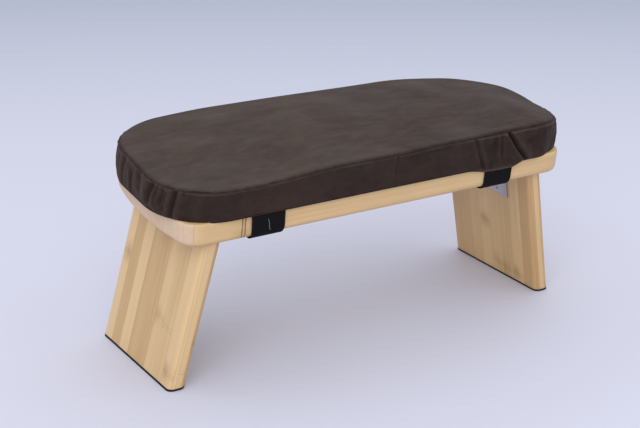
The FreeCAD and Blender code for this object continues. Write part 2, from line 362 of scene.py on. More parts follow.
def bamboo_group():
    """Glued bamboo strips: x across the strips, y through the layers, z along the fibres."""
    tree, s, given, result = shader_group(
        "Bamboo strips",
        [("Vector", "v", None), ("Facing", "v", None), ("Strip", "f", 0.017), ("Layer", "f", 0.006),
         ("Layer Shift", "f", 0.0),
         ("Node Spacing", "f", 0.26), ("Node Shift", "f", 0.0), ("Node Spread", "f", 1.0),
         ("Node Line", "f", 0.2),
         ("Seed", "f", 0.0),
         ("Contrast", "f", 1.0), ("Pale", "c", (0.66, 0.48, 0.27, 1)), ("Deep", "c", (0.5, 0.33, 0.155, 1)),
         ("Node", "c", (0.15, 0.075, 0.03, 1)), ("End", "c", (0.62, 0.47, 0.36, 1))],
        [("Color", "c"), ("Roughness", "f"), ("Height", "f")])
    x, y, z = s.split(given["Vector"])
    wander = s.noise(s.vector("MULTIPLY", given["Vector"], (20.0, 20.0, 4.0)), detail=1.0)
    across = s.math("DIVIDE", s.math("ADD", x, s.math("MULTIPLY_ADD", wander, 0.0008, -0.0004)),
                    given["Strip"])
    deep = s.math("ADD", s.math("DIVIDE", y, given["Layer"]), given["Layer Shift"])
    strip, layer = s.math("FLOOR", across), s.math("FLOOR", deep)
    chance, chances = s.chance(s.join(strip, layer, given["Seed"]))
    r, g, b = s.split(chances)
    # fibres: fine streaks along z, a broader figure, and pores where the strips end
    own = s.vector("ADD", given["Vector"], s.scaled(s.join(strip, layer, given["Seed"]), 3.7))
    fine = s.noise(s.vector("MULTIPLY", own, (1500.0, 1500.0, 26.0)), detail=3.0, roughness=0.6)
    broad = s.noise(s.vector("MULTIPLY", own, (260.0, 260.0, 7.0)), detail=2.0)
    slow = s.noise(s.vector("MULTIPLY", own, (40.0, 40.0, 9.0)), detail=2.0)
    tone = s.math("MULTIPLY_ADD", s.math("SUBTRACT", chance, 0.5), given["Contrast"], 0.42)
    tone = s.math("ADD", tone, s.math("MULTIPLY_ADD", fine, 0.5, -0.25))
    tone = s.math("ADD", tone, s.math("MULTIPLY_ADD", broad, 0.7, -0.35))
    tone = s.math("ADD", tone, s.math("MULTIPLY_ADD", slow, 0.5, -0.25), clamp=True)
    colour = s.blend(tone, given["Pale"], given["Deep"])
    blush = s.math("MULTIPLY", s.span(r, 0.55, 1.0), s.math("MULTIPLY_ADD", given["Contrast"], 0.4, 0.0))
    colour = s.blend(blush, colour, s.blend(1.0, colour, (1.03, 0.95, 1.08, 1), "MULTIPLY"))
    # the culm's nodes: two thin dark lines in a soft brown cloud, at its own height in each strip
    own_height = s.math("MULTIPLY_ADD", g, given["Node Spread"], given["Node Shift"])
    along = s.math("ADD", s.math("DIVIDE", z, given["Node Spacing"]), own_height)
    ragged = s.noise(s.vector("MULTIPLY", own, (160.0, 160.0, 160.0)), detail=2.0)
    off = s.math("MULTIPLY", s.math("SUBTRACT", s.math("FRACT", along), 0.5), given["Node Spacing"])
    off = s.math("ADD", off, s.math("MULTIPLY_ADD", ragged, 0.0022, -0.0011))
    off = s.math("ADD", off, s.math("MULTIPLY", y, -0.03))
    apart = s.math("ABSOLUTE", off)
    pair = s.math("ABSOLUTE", s.math("SUBTRACT", apart, 0.0015))
    line = s.math("MULTIPLY", s.span(pair, 0.0011, 0.0003), s.span(ragged, 0.2, 0.42))
    cloud = s.math("MULTIPLY", s.span(apart, 0.016, 0.001), s.span(slow, 0.42, 0.66))
    colour = s.blend(s.math("MULTIPLY", cloud, 0.55), colour, s.blend(0.35, given["Deep"], given["Node"]))
    drawn = s.math("MULTIPLY", s.math("MULTIPLY_ADD", b, 0.2, 0.75), given["Node Line"])
    colour = s.blend(s.math("MULTIPLY", line, drawn), colour, given["Node"])
    # glue lines
    edge = s.math("MULTIPLY", s.math("PINGPONG", across, 0.5), given["Strip"])
    edge_deep = s.math("MULTIPLY", s.math("PINGPONG", deep, 0.5), given["Layer"])
    glue = s.span(s.math("MINIMUM", edge, edge_deep), 0.00035, 0.00005)
    colour = s.blend(s.math("MULTIPLY", glue, 0.3), colour, s.blend(0.6, given["Deep"], given["Node"]))
    # end grain: paler and pinker, with the fibre bundles as dark dots
    facing = s.math("ABSOLUTE", s.split(given["Facing"])[2])
    dots = s.span(s.cells(s.vector("MULTIPLY", own, (1.0, 1.0, 0.05)), 1500.0), 0.16, 0.38)
    grain = s.blend(s.math("MULTIPLY_ADD", dots, -0.35, 0.35), given["End"],
                    s.blend(0.5, given["Deep"], given["Node"]))
    grain = s.blend(s.math("MULTIPLY", glue, 0.12), s.blend(0.35, grain, colour), given["Node"])
    colour = s.blend(s.span(facing, 0.30, 0.72), colour, grain)
    s.feed(result["Color"], colour)
    s.feed(result["Roughness"], s.math("MULTIPLY_ADD", fine, 0.16, s.span(facing, 0.3, 0.7, 0.36, 0.5)))
    height = s.math("MULTIPLY_ADD", fine, 0.00003, s.math("MULTIPLY", glue, -0.00005))
    s.feed(result["Height"], s.math("MULTIPLY_ADD", broad, 0.00004, height))
    return tree


def suede_group():
    """Short nap that lies in soft patches, lighter where it was brushed up or has wear from rubbing, and carrying
    painted highlight and painted shade from the mesh.
    """
    tree, s, given, result = shader_group(
        "Suede nap",
        [("Vector", "v", None), ("Dark", "c", (0.058, 0.044, 0.038, 1)),
         ("Pale", "c", (0.104, 0.08, 0.071, 1)),
         ("Patches", "f", 1.0), ("Rubbed", "f", 0.0)],
        [("Color", "c"), ("Roughness", "f"), ("Height", "f")])
    where = given["Vector"]
    sway = s.join(s.noise(where, 7.0), s.noise(s.vector("ADD", where, (3.0, 1.0, 2.0)), 7.0), 0.0)
    drift = s.vector("ADD", where, s.scaled(sway, 0.05))
    patches = s.noise(s.vector("MULTIPLY", drift, (0.7, 1.3, 1.3)), 22.0, 3.0, 0.55)
    strokes = s.noise(s.vector("MULTIPLY", drift, (0.45, 1.6, 1.2)), 70.0, 3.0, 0.6)
    scuffs = s.noise(s.vector("MULTIPLY", drift, (0.5, 1.0, 1.0)), 160.0, 3.0, 0.6)
    speckle = s.noise(where, 900.0, 3.0, 0.65)
    tone = s.math("MULTIPLY_ADD", s.span(patches, 0.3, 0.7), 0.45,
                  s.math("MULTIPLY", s.span(strokes, 0.3, 0.72), 0.3))
    tone = s.math("MULTIPLY_ADD", s.span(scuffs, 0.35, 0.75), 0.25, tone)
    tone = s.math("MULTIPLY_ADD", s.math("SUBTRACT", tone, 0.5), given["Patches"], 0.5)
    # painted light: the nap is paled towards the left end, where more light falls, and darkened towards the right
    tone = s.math("MULTIPLY_ADD", s.split(where)[0], -0.9, tone)
    tone = s.math("ADD", tone, s.math("MULTIPLY_ADD", speckle, 0.36, -0.18), clamp=True)
    colour = s.blend(tone, given["Dark"], given["Pale"])
    hue = s.noise(s.vector("ADD", where, (5.0, 4.0, 1.0)), 14.0, 2.0)
    colour = s.blend(s.span(hue, 0.35, 0.65, 0.0, 0.5), colour,
                     s.blend(1.0, colour, (1.10, 0.93, 0.88, 1), "MULTIPLY"))
    # wear and painted highlight: where the mesh's value is positive, the nap is paled towards a raised, lit tone
    lifted_nap_and_highlight = s.blend(1.0, given["Pale"], (1.75, 1.72, 1.7, 1), "MULTIPLY")
    colour = s.blend(s.math("MULTIPLY", given["Rubbed"], s.span(speckle, 0.2, 0.6, 0.55, 1.0), clamp=True),
                     colour, lifted_nap_and_highlight)
    # painted shade: where the mesh's value is negative, in seam grooves and fold creases, the nap is darkened
    sunk = s.math("MULTIPLY", given["Rubbed"], -1.0, clamp=True)
    colour = s.blend(s.math("MULTIPLY", sunk, 0.8), colour,
                     s.blend(1.0, given["Dark"], (0.25, 0.22, 0.22, 1), "MULTIPLY"))
    s.feed(result["Color"], colour)
    s.feed(result["Roughness"], s.math("MULTIPLY_ADD", tone, -0.1, 0.98))
    fibre = s.noise(where, 2600.0, 2.0, 0.6)
    s.feed(result["Height"], s.math("MULTIPLY_ADD", fibre, 0.00006, s.math("MULTIPLY", speckle, 0.00012)))
    return tree


def webbing_group():
    """Ribbed nylon webbing, from a UV map in metres: u across it, v along it."""
    tree, s, given, result = shader_group(
        "Webbing weave",
        [("Vector", "v", None), ("Color", "c", (0.005, 0.004, 0.0048, 1)), ("Width", "f", 0.034),
         ("Lint", "f", 0.0), ("Lint Across", "f", 0.0175), ("Lint Along", "f", 0.0130)],
        [("Color", "c"), ("Roughness", "f"), ("Height", "f")])
    u, v, _ = s.split(given["Vector"])
    rib = s.math("MULTIPLY_ADD", s.math("SINE", s.math("MULTIPLY", v, 2 * math.pi / 0.0013)), 0.5, 0.5)
    row = s.math("FLOOR", s.math("DIVIDE", v, 0.00065))
    shifted = s.math("ADD", s.math("DIVIDE", u, 0.0015), s.math("MULTIPLY", row, 0.5))
    yarn = s.math("MULTIPLY_ADD", s.math("SINE", s.math("MULTIPLY", shifted, 2 * math.pi)), 0.5, 0.5)
    weave = s.math("MULTIPLY_ADD", rib, 0.6, s.math("MULTIPLY", yarn, 0.4))
    from_edge = s.math("MINIMUM", u, s.math("SUBTRACT", given["Width"], u))
    selvedge = s.span(from_edge, 0.0028, 0.0012)
    fuzz = s.noise(given["Vector"], 1800.0, 3.0, 0.7)
    # painted highlight: the ribs, the fuzz and the selvedges are paled as if they caught the light
    lit = s.math("ADD", s.math("MULTIPLY", weave, 0.6), s.math("MULTIPLY", fuzz, 0.9))
    lit = s.math("ADD", lit, s.math("MULTIPLY", selvedge, 0.35))
    colour = s.blend(1.0, given["Color"], s.join(lit, lit, lit), "MULTIPLY")
    # one pale fibre of lint caught on the weave
    stray = s.math("MULTIPLY_ADD", s.noise(s.join(v, 0.0, 0.0), 300.0, 1.0), 0.004, -0.002)
    lean = s.math("MULTIPLY", s.math("SUBTRACT", v, given["Lint Along"]), 0.15)
    off = s.math("SUBTRACT", s.math("SUBTRACT", u, given["Lint Across"]), s.math("ADD", stray, lean))
    thread = s.span(s.math("ABSOLUTE", off), 0.00042, 0.00010)
    near = s.span(s.math("ABSOLUTE", s.math("SUBTRACT", v, given["Lint Along"])), 0.0062, 0.0050)
    lint = s.math("MULTIPLY", s.math("MULTIPLY", thread, near), given["Lint"])
    s.feed(result["Color"], s.blend(lint, colour, (0.19, 0.18, 0.19, 1)))
    s.feed(result["Roughness"], s.math("MULTIPLY_ADD", weave, -0.15, 0.85))
    height = s.math("MULTIPLY_ADD", weave, 0.00016, s.math("MULTIPLY", selvedge, 0.00012))
    s.feed(result["Height"], s.math("MULTIPLY_ADD", fuzz, 0.00008, height))
    return tree


def steel_group():
    """Plated steel, finely brushed along x, with faint cloudy handling marks."""
    tree, s, given, result = shader_group(
        "Brushed steel",
        [("Vector", "v", None), ("Color", "c", (0.5, 0.48, 0.52, 1)), ("Grain", "f", 1.0)],
        [("Color", "c"), ("Roughness", "f"), ("Height", "f")])
    streak = s.noise(s.vector("MULTIPLY", given["Vector"], (60.0, 2600.0, 2600.0)), detail=3.0, roughness=0.6)
    cloud = s.noise(given["Vector"], 90.0, 3.0)
    shade = s.math("MULTIPLY_ADD", streak, 0.16, s.math("MULTIPLY_ADD", cloud, 0.14, 0.85))
    s.feed(result["Color"], s.blend(1.0, given["Color"], s.join(shade, shade, shade), "MULTIPLY"))
    s.feed(result["Roughness"],
           s.math("MULTIPLY_ADD", streak, 0.12, s.math("MULTIPLY_ADD", cloud, 0.12, 0.28)))
    s.feed(result["Height"], s.math("MULTIPLY", s.math("MULTIPLY", streak, given["Grain"]), 0.00001))
    return tree


def pebble_group():
    """A moulded matt surface: fine pebbling and a little dust in it."""
    tree, s, given, result = shader_group(
        "Moulded pebble",
        [("Vector", "v", None), ("Color", "c", (0.012, 0.012, 0.013, 1)), ("Size", "f", 0.0006),
         ("Dust", "f", 1.0)],
        [("Color", "c"), ("Roughness", "f"), ("Height", "f")])
    scale = s.math("DIVIDE", 1.0, given["Size"])
    pebbles = s.cells(given["Vector"], scale)
    dust = s.noise(given["Vector"], 240.0, 3.0, 0.6)
    dusty = s.math("MULTIPLY", s.span(dust, 0.5, 0.8, 0.0, 0.12), given["Dust"])
    s.feed(result["Color"], s.blend(dusty, given["Color"], (0.2, 0.19, 0.18, 1)))
    s.feed(result["Roughness"], s.math("MULTIPLY_ADD", dust, 0.2, 0.68))
    s.feed(result["Height"], s.math("MULTIPLY", pebbles, 0.00012))
    return tree


def foam_group():
    """Cut open-cell foam."""
    tree, s, given, result = shader_group(
        "Foam cells", [("Vector", "v", None), ("Color", "c", (0.7, 0.64, 0.46, 1))],
        [("Color", "c"), ("Roughness", "f"), ("Height", "f")])
    cell = s.cells(given["Vector"], 700.0)
    tint = s.noise(given["Vector"], 30.0, 2.0)
    # painted shade: each open cell is darkened towards its middle, where its hollow lies in shade
    colour = s.blend(s.span(cell, 0.1, 0.55), s.blend(0.5, given["Color"], (0.3, 0.22, 0.1, 1)),
                     given["Color"])
    s.feed(result["Color"], s.blend(s.span(tint, 0.3, 0.7, 0.0, 0.2), colour, (0.75, 0.6, 0.35, 1)))
    s.feed(result["Roughness"], s.math("MULTIPLY_ADD", cell, 0.1, 0.88))
    s.feed(result["Height"], s.math("MULTIPLY", cell, 0.0004))
    return tree


SHADER_GROUPS = {"Bamboo strips": bamboo_group, "Suede nap": suede_group, "Webbing weave": webbing_group,
                 "Brushed steel": steel_group, "Moulded pebble": pebble_group, "Foam cells": foam_group}


def surface(name, group, vector_of, bump=1.0, fixed=None, **values):
    """A material: one Principled shader fed by a group's colour, roughness and height."""
    material = bpy.data.materials.new(name)
    material.use_nodes = True
    s = Steps(material.node_tree)
    shader = material.node_tree.nodes["Principled BSDF"]
    values = {label: value(s) if callable(value) else value for label, value in values.items()}
    outputs = s.use(group, Vector=vector_of(s), **values)
    s.feed(shader.inputs["Base Color"], outputs["Color"])
    s.feed(shader.inputs["Roughness"], outputs["Roughness"])
    dent = s.add("ShaderNodeBump")
    dent.inputs["Strength"].default_value = 1.0
    dent.inputs["Distance"].default_value = bump
    s.feed(dent.inputs["Height"], outputs["Height"])
    s.feed(shader.inputs["Normal"], dent.outputs[0])
    for label, value in (fixed or {}).items():
        shader.inputs[label].default_value = value
    return material


def attribute_of(name):
    """Reads a number that the mesh carries at its points."""
    return lambda s: s.add("ShaderNodeAttribute", attribute_name=name).outputs["Fac"]


def facing(matrix):
    """Reads which way the surface faces, in a frame of the object's own."""
    return lambda s: s.place(matrix, "Normal")


def shared(name):
    """A shader group by name, built the first time that a material asks for it."""
    return bpy.data.node_groups.get(name) or SHADER_GROUPS[name]()


def rgba(colour):
    """A colour with full opacity."""
    return (*colour, 1.0)


def row_points(matrix, points):
    """Points of a frame of the object's own, as points of the row frame."""
    m = np.array(matrix)
    return points @ m[:3, :3].T + m[:3, 3]


def board_points(points):
    """Points in the board's frame, in metres, as points of the row frame."""
    return row_points(BOARD, points)


def softened(node, material, width, angle=35.0):
    """A copy of a CAD node with its loose triangles joined and its edges eased, which replaces it."""
    copy = bpy.data.objects.new(node + "_eased", frame["nodes"][node].data.copy())
    bpy.context.scene.collection.objects.link(copy)
    copy.data.materials.clear()
    copy.data.materials.append(material)
    bm = bmesh.new()
    bm.from_mesh(copy.data)
    bmesh.ops.remove_doubles(bm, verts=bm.verts, dist=0.000002)
    bmesh.ops.dissolve_limit(bm, angle_limit=math.radians(1.0), verts=bm.verts, edges=bm.edges)
    bmesh.ops.recalc_face_normals(bm, faces=bm.faces)
    bm.to_mesh(copy.data)
    bm.free()
    ease_edges = copy.modifiers.new("Eased edges", "BEVEL")
    ease_edges.width = width
    ease_edges.segments = 2
    ease_edges.limit_method = "ANGLE"
    ease_edges.angle_limit = math.radians(angle)
    ease_edges.use_clamp_overlap = True
    eased = settled(copy)
    eased.data.shade_smooth()
    eased.data.set_sharp_from_angle(angle=math.radians(angle))
    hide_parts(node)
    return eased


def copies_tree(name):
    """Copies one object onto every point, turned by each point's own angles, as one real mesh."""
    tree = bpy.data.node_groups.new(name, "GeometryNodeTree")
    sockets = {}
    for label, kind in (("Geometry", "NodeSocketGeometry"), ("Object", "NodeSocketObject"),
                        ("Material", "NodeSocketMaterial")):
        sockets[label] = tree.interface.new_socket(label, in_out="INPUT", socket_type=kind).identifier
    tree.interface.new_socket("Geometry", in_out="OUTPUT", socket_type="NodeSocketGeometry")
    s = Steps(tree)
    given = s.add("NodeGroupInput").outputs
    one = s.add("GeometryNodeObjectInfo")
    s.feed(one.inputs["Object"], given["Object"])
    turn = s.add("GeometryNodeInputNamedAttribute", data_type="FLOAT_VECTOR")
    turn.inputs["Name"].default_value = "turn"
    spread = s.add("GeometryNodeInstanceOnPoints")
    s.feed(spread.inputs["Points"], given["Geometry"])
    s.feed(spread.inputs["Instance"], one.outputs["Geometry"])
    s.feed(spread.inputs["Rotation"], turn.outputs["Attribute"])
    real = s.add("GeometryNodeRealizeInstances")
    s.feed(real.inputs[0], spread.outputs[0])
    dress_all = s.add("GeometryNodeSetMaterial")
    s.feed(dress_all.inputs["Geometry"], real.outputs[0])
    s.feed(dress_all.inputs["Material"], given["Material"])
    s.feed(s.add("NodeGroupOutput").inputs[0], dress_all.outputs[0])
    return tree, sockets


def copied(name, one, points, turns, material, matrix):
    """One plain mesh of copies of an object on points of a frame of their own."""
    tree, sockets = copies_tree("Copies for " + name)
    holder = mesh_object(name, points, [])
    holder.data.attributes.new("turn", "FLOAT_VECTOR", "POINT").data.foreach_set("vector", np.ravel(turns))
    spread = holder.modifiers.new("Copies", "NODES")
    spread.node_group = tree
    spread[sockets["Object"]] = one
    spread[sockets["Material"]] = material
    made = settled(holder)
    made.data.transform(matrix)
    return made


def mesh_object(name, points, faces, material=None, smooth=True):
    """A new object at the origin, from points in the row frame."""
    mesh = bpy.data.meshes.new(name)
    mesh.from_pydata([tuple(p) for p in points], [], faces)
    mesh.validate()
    if smooth:
        mesh.shade_smooth()
    made = bpy.data.objects.new(name, mesh)
    bpy.context.scene.collection.objects.link(made)
    if material:
        mesh.materials.append(material)
    return made


def grid_faces(rows, columns, round_columns=True, start=0):
    """Quads between neighbouring rows of points; the columns may close round."""
    last = columns if round_columns else columns - 1
    return [
        (start + row * columns + column,
         start + row * columns + (column + 1) % columns,
         start + (row + 1) * columns + (column + 1) % columns,
         start + (row + 1) * columns + column)
        for row in range(rows - 1) for column in range(last)
    ]


def lofted(name, rings, material):
    """A closed solid through rings of points in the row frame, with a flat face at each end."""
    rows, count = rings.shape[:2]
    faces = grid_faces(rows, count)
    faces.append(tuple(reversed(range(count))))
    faces.append(tuple(range((rows - 1) * count, rows * count)))
    return merged(mesh_object(name, rings.reshape(-1, 3), faces, material), 0.000001)


def arc(centre, radius, first, last, steps):
    """Points of an arc in the plane, between two angles in degrees."""
    angles = np.radians(np.linspace(first, last, steps))
    return np.array(centre) + radius * np.column_stack([np.cos(angles), np.sin(angles)])


def board_ring(inset):
    """The board's outline in plan, anticlockwise: long straight sides, bowed ends and round corners."""
    half, side = BOARD_LENGTH / 2, BOARD_DEPTH / 2
    end_radius = (side ** 2 + BOARD_BOW ** 2) / (2 * BOARD_BOW)
    end_centre = half - end_radius
    rise = side - BOARD_CORNER
    corner = end_centre + math.sqrt((end_radius - BOARD_CORNER) ** 2 - rise ** 2)
    lean = math.degrees(math.atan2(rise, corner - end_centre))
    upper = np.concatenate([
        arc((end_centre, 0), end_radius - inset, 0, lean, 8)[:-1],
        arc((corner, rise), BOARD_CORNER - inset, lean, 90, 20),
        [(corner - 2 * MM, side - inset)],
    ])
    right = np.concatenate([(upper * (1, -1))[::-1][:-1], upper])
    return np.concatenate([right, -right])


def slab_ring(x0, x1, half_y, radius, inset):
    """A rectangle with round corners, anticlockwise, with points close to each corner on the straights."""
    guard = 1.2 * MM
    ring = []
    for turn, (cx, cy) in enumerate(((x1, half_y), (x0, half_y), (x0, -half_y), (x1, -half_y))):
        sx, sy = (1 if cx == x1 else -1), (1 if cy > 0 else -1)
        centre = (cx - sx * radius, cy - sy * radius)
        bend = arc(centre, radius - inset, 90 * turn, 90 * turn + 90, 10)
        before = np.array([math.sin(math.radians(90 * turn)), -math.cos(math.radians(90 * turn))])
        after = np.array([-math.cos(math.radians(90 * turn)), -math.sin(math.radians(90 * turn))])
        ring += [bend[0] + before * guard, *bend, bend[-1] + after * guard]
    return np.array(ring)


def merged(obj, distance=0.00001):
    """Closes an object's doubled points and turns its faces outwards."""
    bm = bmesh.new()
    bm.from_mesh(obj.data)
    bmesh.ops.remove_doubles(bm, verts=bm.verts, dist=distance)
    bmesh.ops.dissolve_degenerate(bm, edges=bm.edges, dist=distance / 4)
    bmesh.ops.recalc_face_normals(bm, faces=bm.faces)
    bm.to_mesh(obj.data)
    bm.free()
    return obj


def settled(obj, name=None):
    """The object with its modifiers applied, as a plain mesh at the origin."""
    graph = bpy.context.evaluated_depsgraph_get()
    mesh = bpy.data.meshes.new_from_object(obj.evaluated_get(graph), depsgraph=graph)
    mesh.transform(obj.matrix_world)
    materials = list(obj.data.materials)
    if name is None:
        name = obj.name
    bpy.data.objects.remove(obj)
    mesh.name = name
    made = bpy.data.objects.new(name, mesh)
    bpy.context.scene.collection.objects.link(made)
    if not mesh.materials:
        for material in materials:
            mesh.materials.append(material)
    return made


def wave(value, centre, width):
    """A smooth bump of height 1."""
    return np.exp(-(((value - centre) / width) ** 2))


def ease(value, low, high):
    """A smooth step from 0 at low to 1 at high."""
    t = np.clip((value - low) / (high - low), 0, 1)
    return t * t * (3 - 2 * t)


class Rim:
    """The cushion's outline in plan: a rectangle with round corners, walked by arc length from the front's middle."""

    def __init__(self, cushion, count):
        a, b, r = cushion.length / 2, cushion.depth / 2, cushion.corner
        runs = [("line", a - r), ("arc", 0), ("line", 2 * (b - r)), ("arc", 1), ("line", 2 * (a - r)),
                ("arc", 2), ("line", 2 * (b - r)), ("arc", 3), ("line", a - r)]
        self.total = sum(v if k == "line" else math.pi * r / 2 for k, v in runs)
        self.s = np.arange(count) * self.total / count
        x, y, nx, ny = (np.zeros(count) for _ in range(4))
        start, here, heading = 0.0, np.array([0.0, -b]), 0.0
        for kind, value in runs:
            length = value if kind == "line" else math.pi * r / 2
            inside = (self.s >= start - 1e-12) & (self.s < start + length)
            t = self.s[inside] - start
            d = np.array([math.cos(heading), math.sin(heading)])
            n = np.array([d[1], -d[0]])
            if kind == "line":
                x[inside], y[inside] = here[0] + t * d[0], here[1] + t * d[1]
                nx[inside], ny[inside] = n
                here = here + length * d
            else:
                centre = here - r * n
                angle = heading - math.pi / 2 + t / r
                x[inside], y[inside] = centre[0] + r * np.cos(angle), centre[1] + r * np.sin(angle)
                nx[inside], ny[inside] = np.cos(angle), np.sin(angle)
                heading += math.pi / 2
                here = centre + r * np.array([math.cos(heading - math.pi / 2),
                                              math.sin(heading - math.pi / 2)])
            start += length
        self.walk = np.where(self.s > self.total / 2, self.s - self.total, self.s)
        self.xy = np.stack([x, y], 1)
        self.out = np.stack([nx, ny], 1)
        for where, width, amount in RIM_DENTS:
            self.xy += self.out * (amount * wave(self.walk, where, width))[:, None]
        self.xy[:, 0] += cushion.shift


# The soft outline isn't quite true: where along the rim, how wide, how far out, in metres
RIM_DENTS = [(0.262, 0.026, -0.0030), (0.365, 0.045, -0.0035), (-0.365, 0.045, -0.0010)]

# A fold in the side band: where it meets the seam and the hem, in metres along the rim, then the heights where
# it starts and ends as shares of the band, its width and its depth.
STRAP_FOLDS = [
    (0.1325, 0.1610, 0.00, 1.00, 0.0021, 0.0046),
    (0.1400, 0.1660, 0.15, 0.80, 0.0060, -0.0010),
    (0.0925, 0.1070, 0.05, 1.00, 0.0022, 0.0016),
    (0.1240, 0.1300, 0.25, 1.00, 0.0019, 0.0015),
    (0.1170, 0.1190, 0.20, 0.90, 0.0036, 0.0014),
    (0.1100, 0.1145, 0.00, 0.70, 0.0030, 0.0013),
    (0.0840, 0.0900, 0.20, 0.85, 0.0050, 0.0008),
]


# The folds that the left end takes, from the front corner round, in the same terms
LEFT_FOLDS = [
    (-0.2090, -0.2130, 0.00, 0.90, 0.0050, 0.0008),
    (-0.2145, -0.2150, 0.84, 1.00, 0.0015, 0.0018),
    (-0.2215, -0.2270, 0.00, 1.00, 0.0026, 0.0032),
    (-0.2310, -0.2350, 0.20, 0.80, 0.0024, 0.0014),
    (-0.2355, -0.2390, 0.35, 1.00, 0.0022, 0.0018),
    (-0.2405, -0.2475, 0.45, 1.00, 0.0018, 0.0021),
    (-0.2470, -0.2580, 0.20, 0.92, 0.0036, 0.0027),
    (-0.2700, -0.2720, 0.30, 1.00, 0.0040, 0.0010),
    (-0.2870, -0.2890, 0.00, 0.72, 0.0024, 0.0019),
    (-0.3030, -0.3085, 0.05, 1.00, 0.0032, 0.0016),
]


def end_gathers():
    """Slighter gathers where the boxing eases round the other corners."""
    chance = np.random.default_rng(11)
    folds = []
    for sign, first, last, depth in ((-1, 0.316, 0.372, 0.8), (1, 0.205, 0.345, 0.6)):
        here = first
        while here < last:
            lean = chance.normal(0, 0.003)
            low, high = (0.0, chance.uniform(0.5, 1.0)) if chance.random() < 0.5 else (chance.uniform(0,
                                                                                                      0.45), 1.0)
            size = chance.uniform(0.35, 1.0) ** 1.3
            folds.append((sign * here, sign * here + lean, low, high, chance.uniform(0.0020, 0.0040),
                          0.0020 * size * depth))
            here += chance.uniform(0.007, 0.016)
    return folds


def fold_depth(folds, walk, height, total):
    """How far the folds sink the side band at points by arc length and height (0 at the hem, 1 at the seam)."""
    sunk = np.zeros(np.broadcast(walk, height).shape)
    for top, bottom, low, high, width, depth in folds:
        line = bottom + (top - bottom) * height
        away = (walk - line + total / 2) % total - total / 2
        shape = np.exp(-np.abs(away / width) ** 1.6) - 0.35 * np.exp(-(((np.abs(away) - 1.9 * width) / width) ** 2))
        reach = ease(height, low - 0.12, low + 0.12) * (1 - ease(height, high - 0.12, high + 0.14))
        sunk += depth * shape * reach
    return sunk


def seam_height(xy):
    """Height of the top seam above the board's underside: it rises to the right and to the back, and the ends sag."""
    x, y = xy[..., 0], xy[..., 1]
    front = (51.4 + 4.8 * ease(x, -0.150, -0.055) + 1.9 * ease(x, 0.005, 0.060) + 0.9 * ease(x, 0.090, 0.150)
             - 6.0 * ease(x, 0.175, 0.232))
    back = 58.6 + 3.4 * ease(x, -0.205, -0.110) - 1.2 * ease(x, -0.060, 0.070) - 9.2 * ease(x, 0.085, 0.215)
    sag = 1.6 * wave(y, -0.030, 0.024) * ease(x, 0.190, 0.222)
    return (front + (back - front) * ease(y, -0.065, 0.065) - sag) * MM


def hem_height(xy):
    """Height of the hem: level with the board's top, dipping over the front right strap."""
    x, y = xy[..., 0], xy[..., 1]
    dip = 4.2 * ease(x, 0.086, 0.116) * (1 - ease(x, 0.142, 0.158))
    rise = 0.5 * wave(x, 0.163, 0.010)
    front = (22.6 + rise - dip) * (1 - ease(y, -0.078, -0.064)) + 23.3 * ease(y, -0.078, -0.064)
    return front * MM


def lean(xy):
    """How much further out the hem stands than the seam: the ends lean outwards."""
    x = xy[..., 0]
    return 0.0018 * ease(-x, 0.170, 0.215) + 0.0044 * ease(x, 0.185, 0.220)


def section(rim, cushion, rows, lift, folds):
    """Rows of points in the board's frame. A row is ("top", share), ("side", share) or ("base", share)."""
    half_depth = cushion.depth / 2
    focus = np.stack([rim.xy[:, 0] * 0.64 + cushion.shift * 0.36, np.zeros(len(rim.s))], 1)
    seam, hem = seam_height(rim.xy), hem_height(rim.xy)
    made = []
    for kind, share in rows:
        if kind == "side":
            height = 1 - share
            swell = cushion.bulge * math.sin(math.pi * share) ** 0.8 - 0.0006
            over = 0.0018 * wave(rim.walk, 0.127, 0.026) * ease(np.array(share), 0.35, 1.0)
            sunk = fold_depth(folds, rim.walk, np.full(len(rim.s), height), rim.total)
            out = lean(rim.xy) * (share - 0.35)
            xy = rim.xy + rim.out * (swell + over + out - sunk)[:, None]
            z = hem + (seam - hem) * height
        else:
            out = lean(rim.xy) * (-0.35 if kind == "top" else 0.65) * (1 - share) - 0.0006
            xy = rim.xy + rim.out * out[:, None]
            xy = xy + (focus - xy) * share
            inset = share * half_depth
            if kind == "top":
                roll = 0.0019 * (1 - math.exp(-inset / 0.0030))
                z = seam_height(xy) + roll + cushion.crown * ease(np.array(inset), 0.002, 0.075)
            else:
                flat = BOARD_THICKNESS + 0.0004
                z = hem + (flat - hem) * ease(np.array(inset), 0.0005, 0.006)
        made.append(np.column_stack([xy, z]))
    return np.array(made) + np.array([0, 0, lift])


def meet_in_the_middle(row):
    """Front and back points of a panel's innermost row moved together, so that they join."""
    partner = (len(row) // 2 - np.arange(len(row))) % len(row)
    return (row + row[partner]) / 2


TOP_SHARES = [1.0, 0.9, 0.8, 0.7, 0.6, 0.5, 0.41, 0.33, 0.26, 0.2, 0.145, 0.1, 0.065, 0.038, 0.018]
SIDE_SHARES = [0.0, 0.08, 0.18, 0.29, 0.4, 0.5, 0.6, 0.71, 0.82, 0.92, 1.0]
BASE_SHARES = [0.02, 0.05, 0.1, 0.2, 0.35, 0.55, 0.78, 1.0]
SIM_ROWS = ([("top", q) for q in TOP_SHARES] + [("side", q) for q in SIDE_SHARES] + [("base",
                                                                                      q) for q in BASE_SHARES])
SIM_SEAM = len(TOP_SHARES)
SIM_HEM = SIM_SEAM + len(SIDE_SHARES) - 1
SIM_COUNT = 420


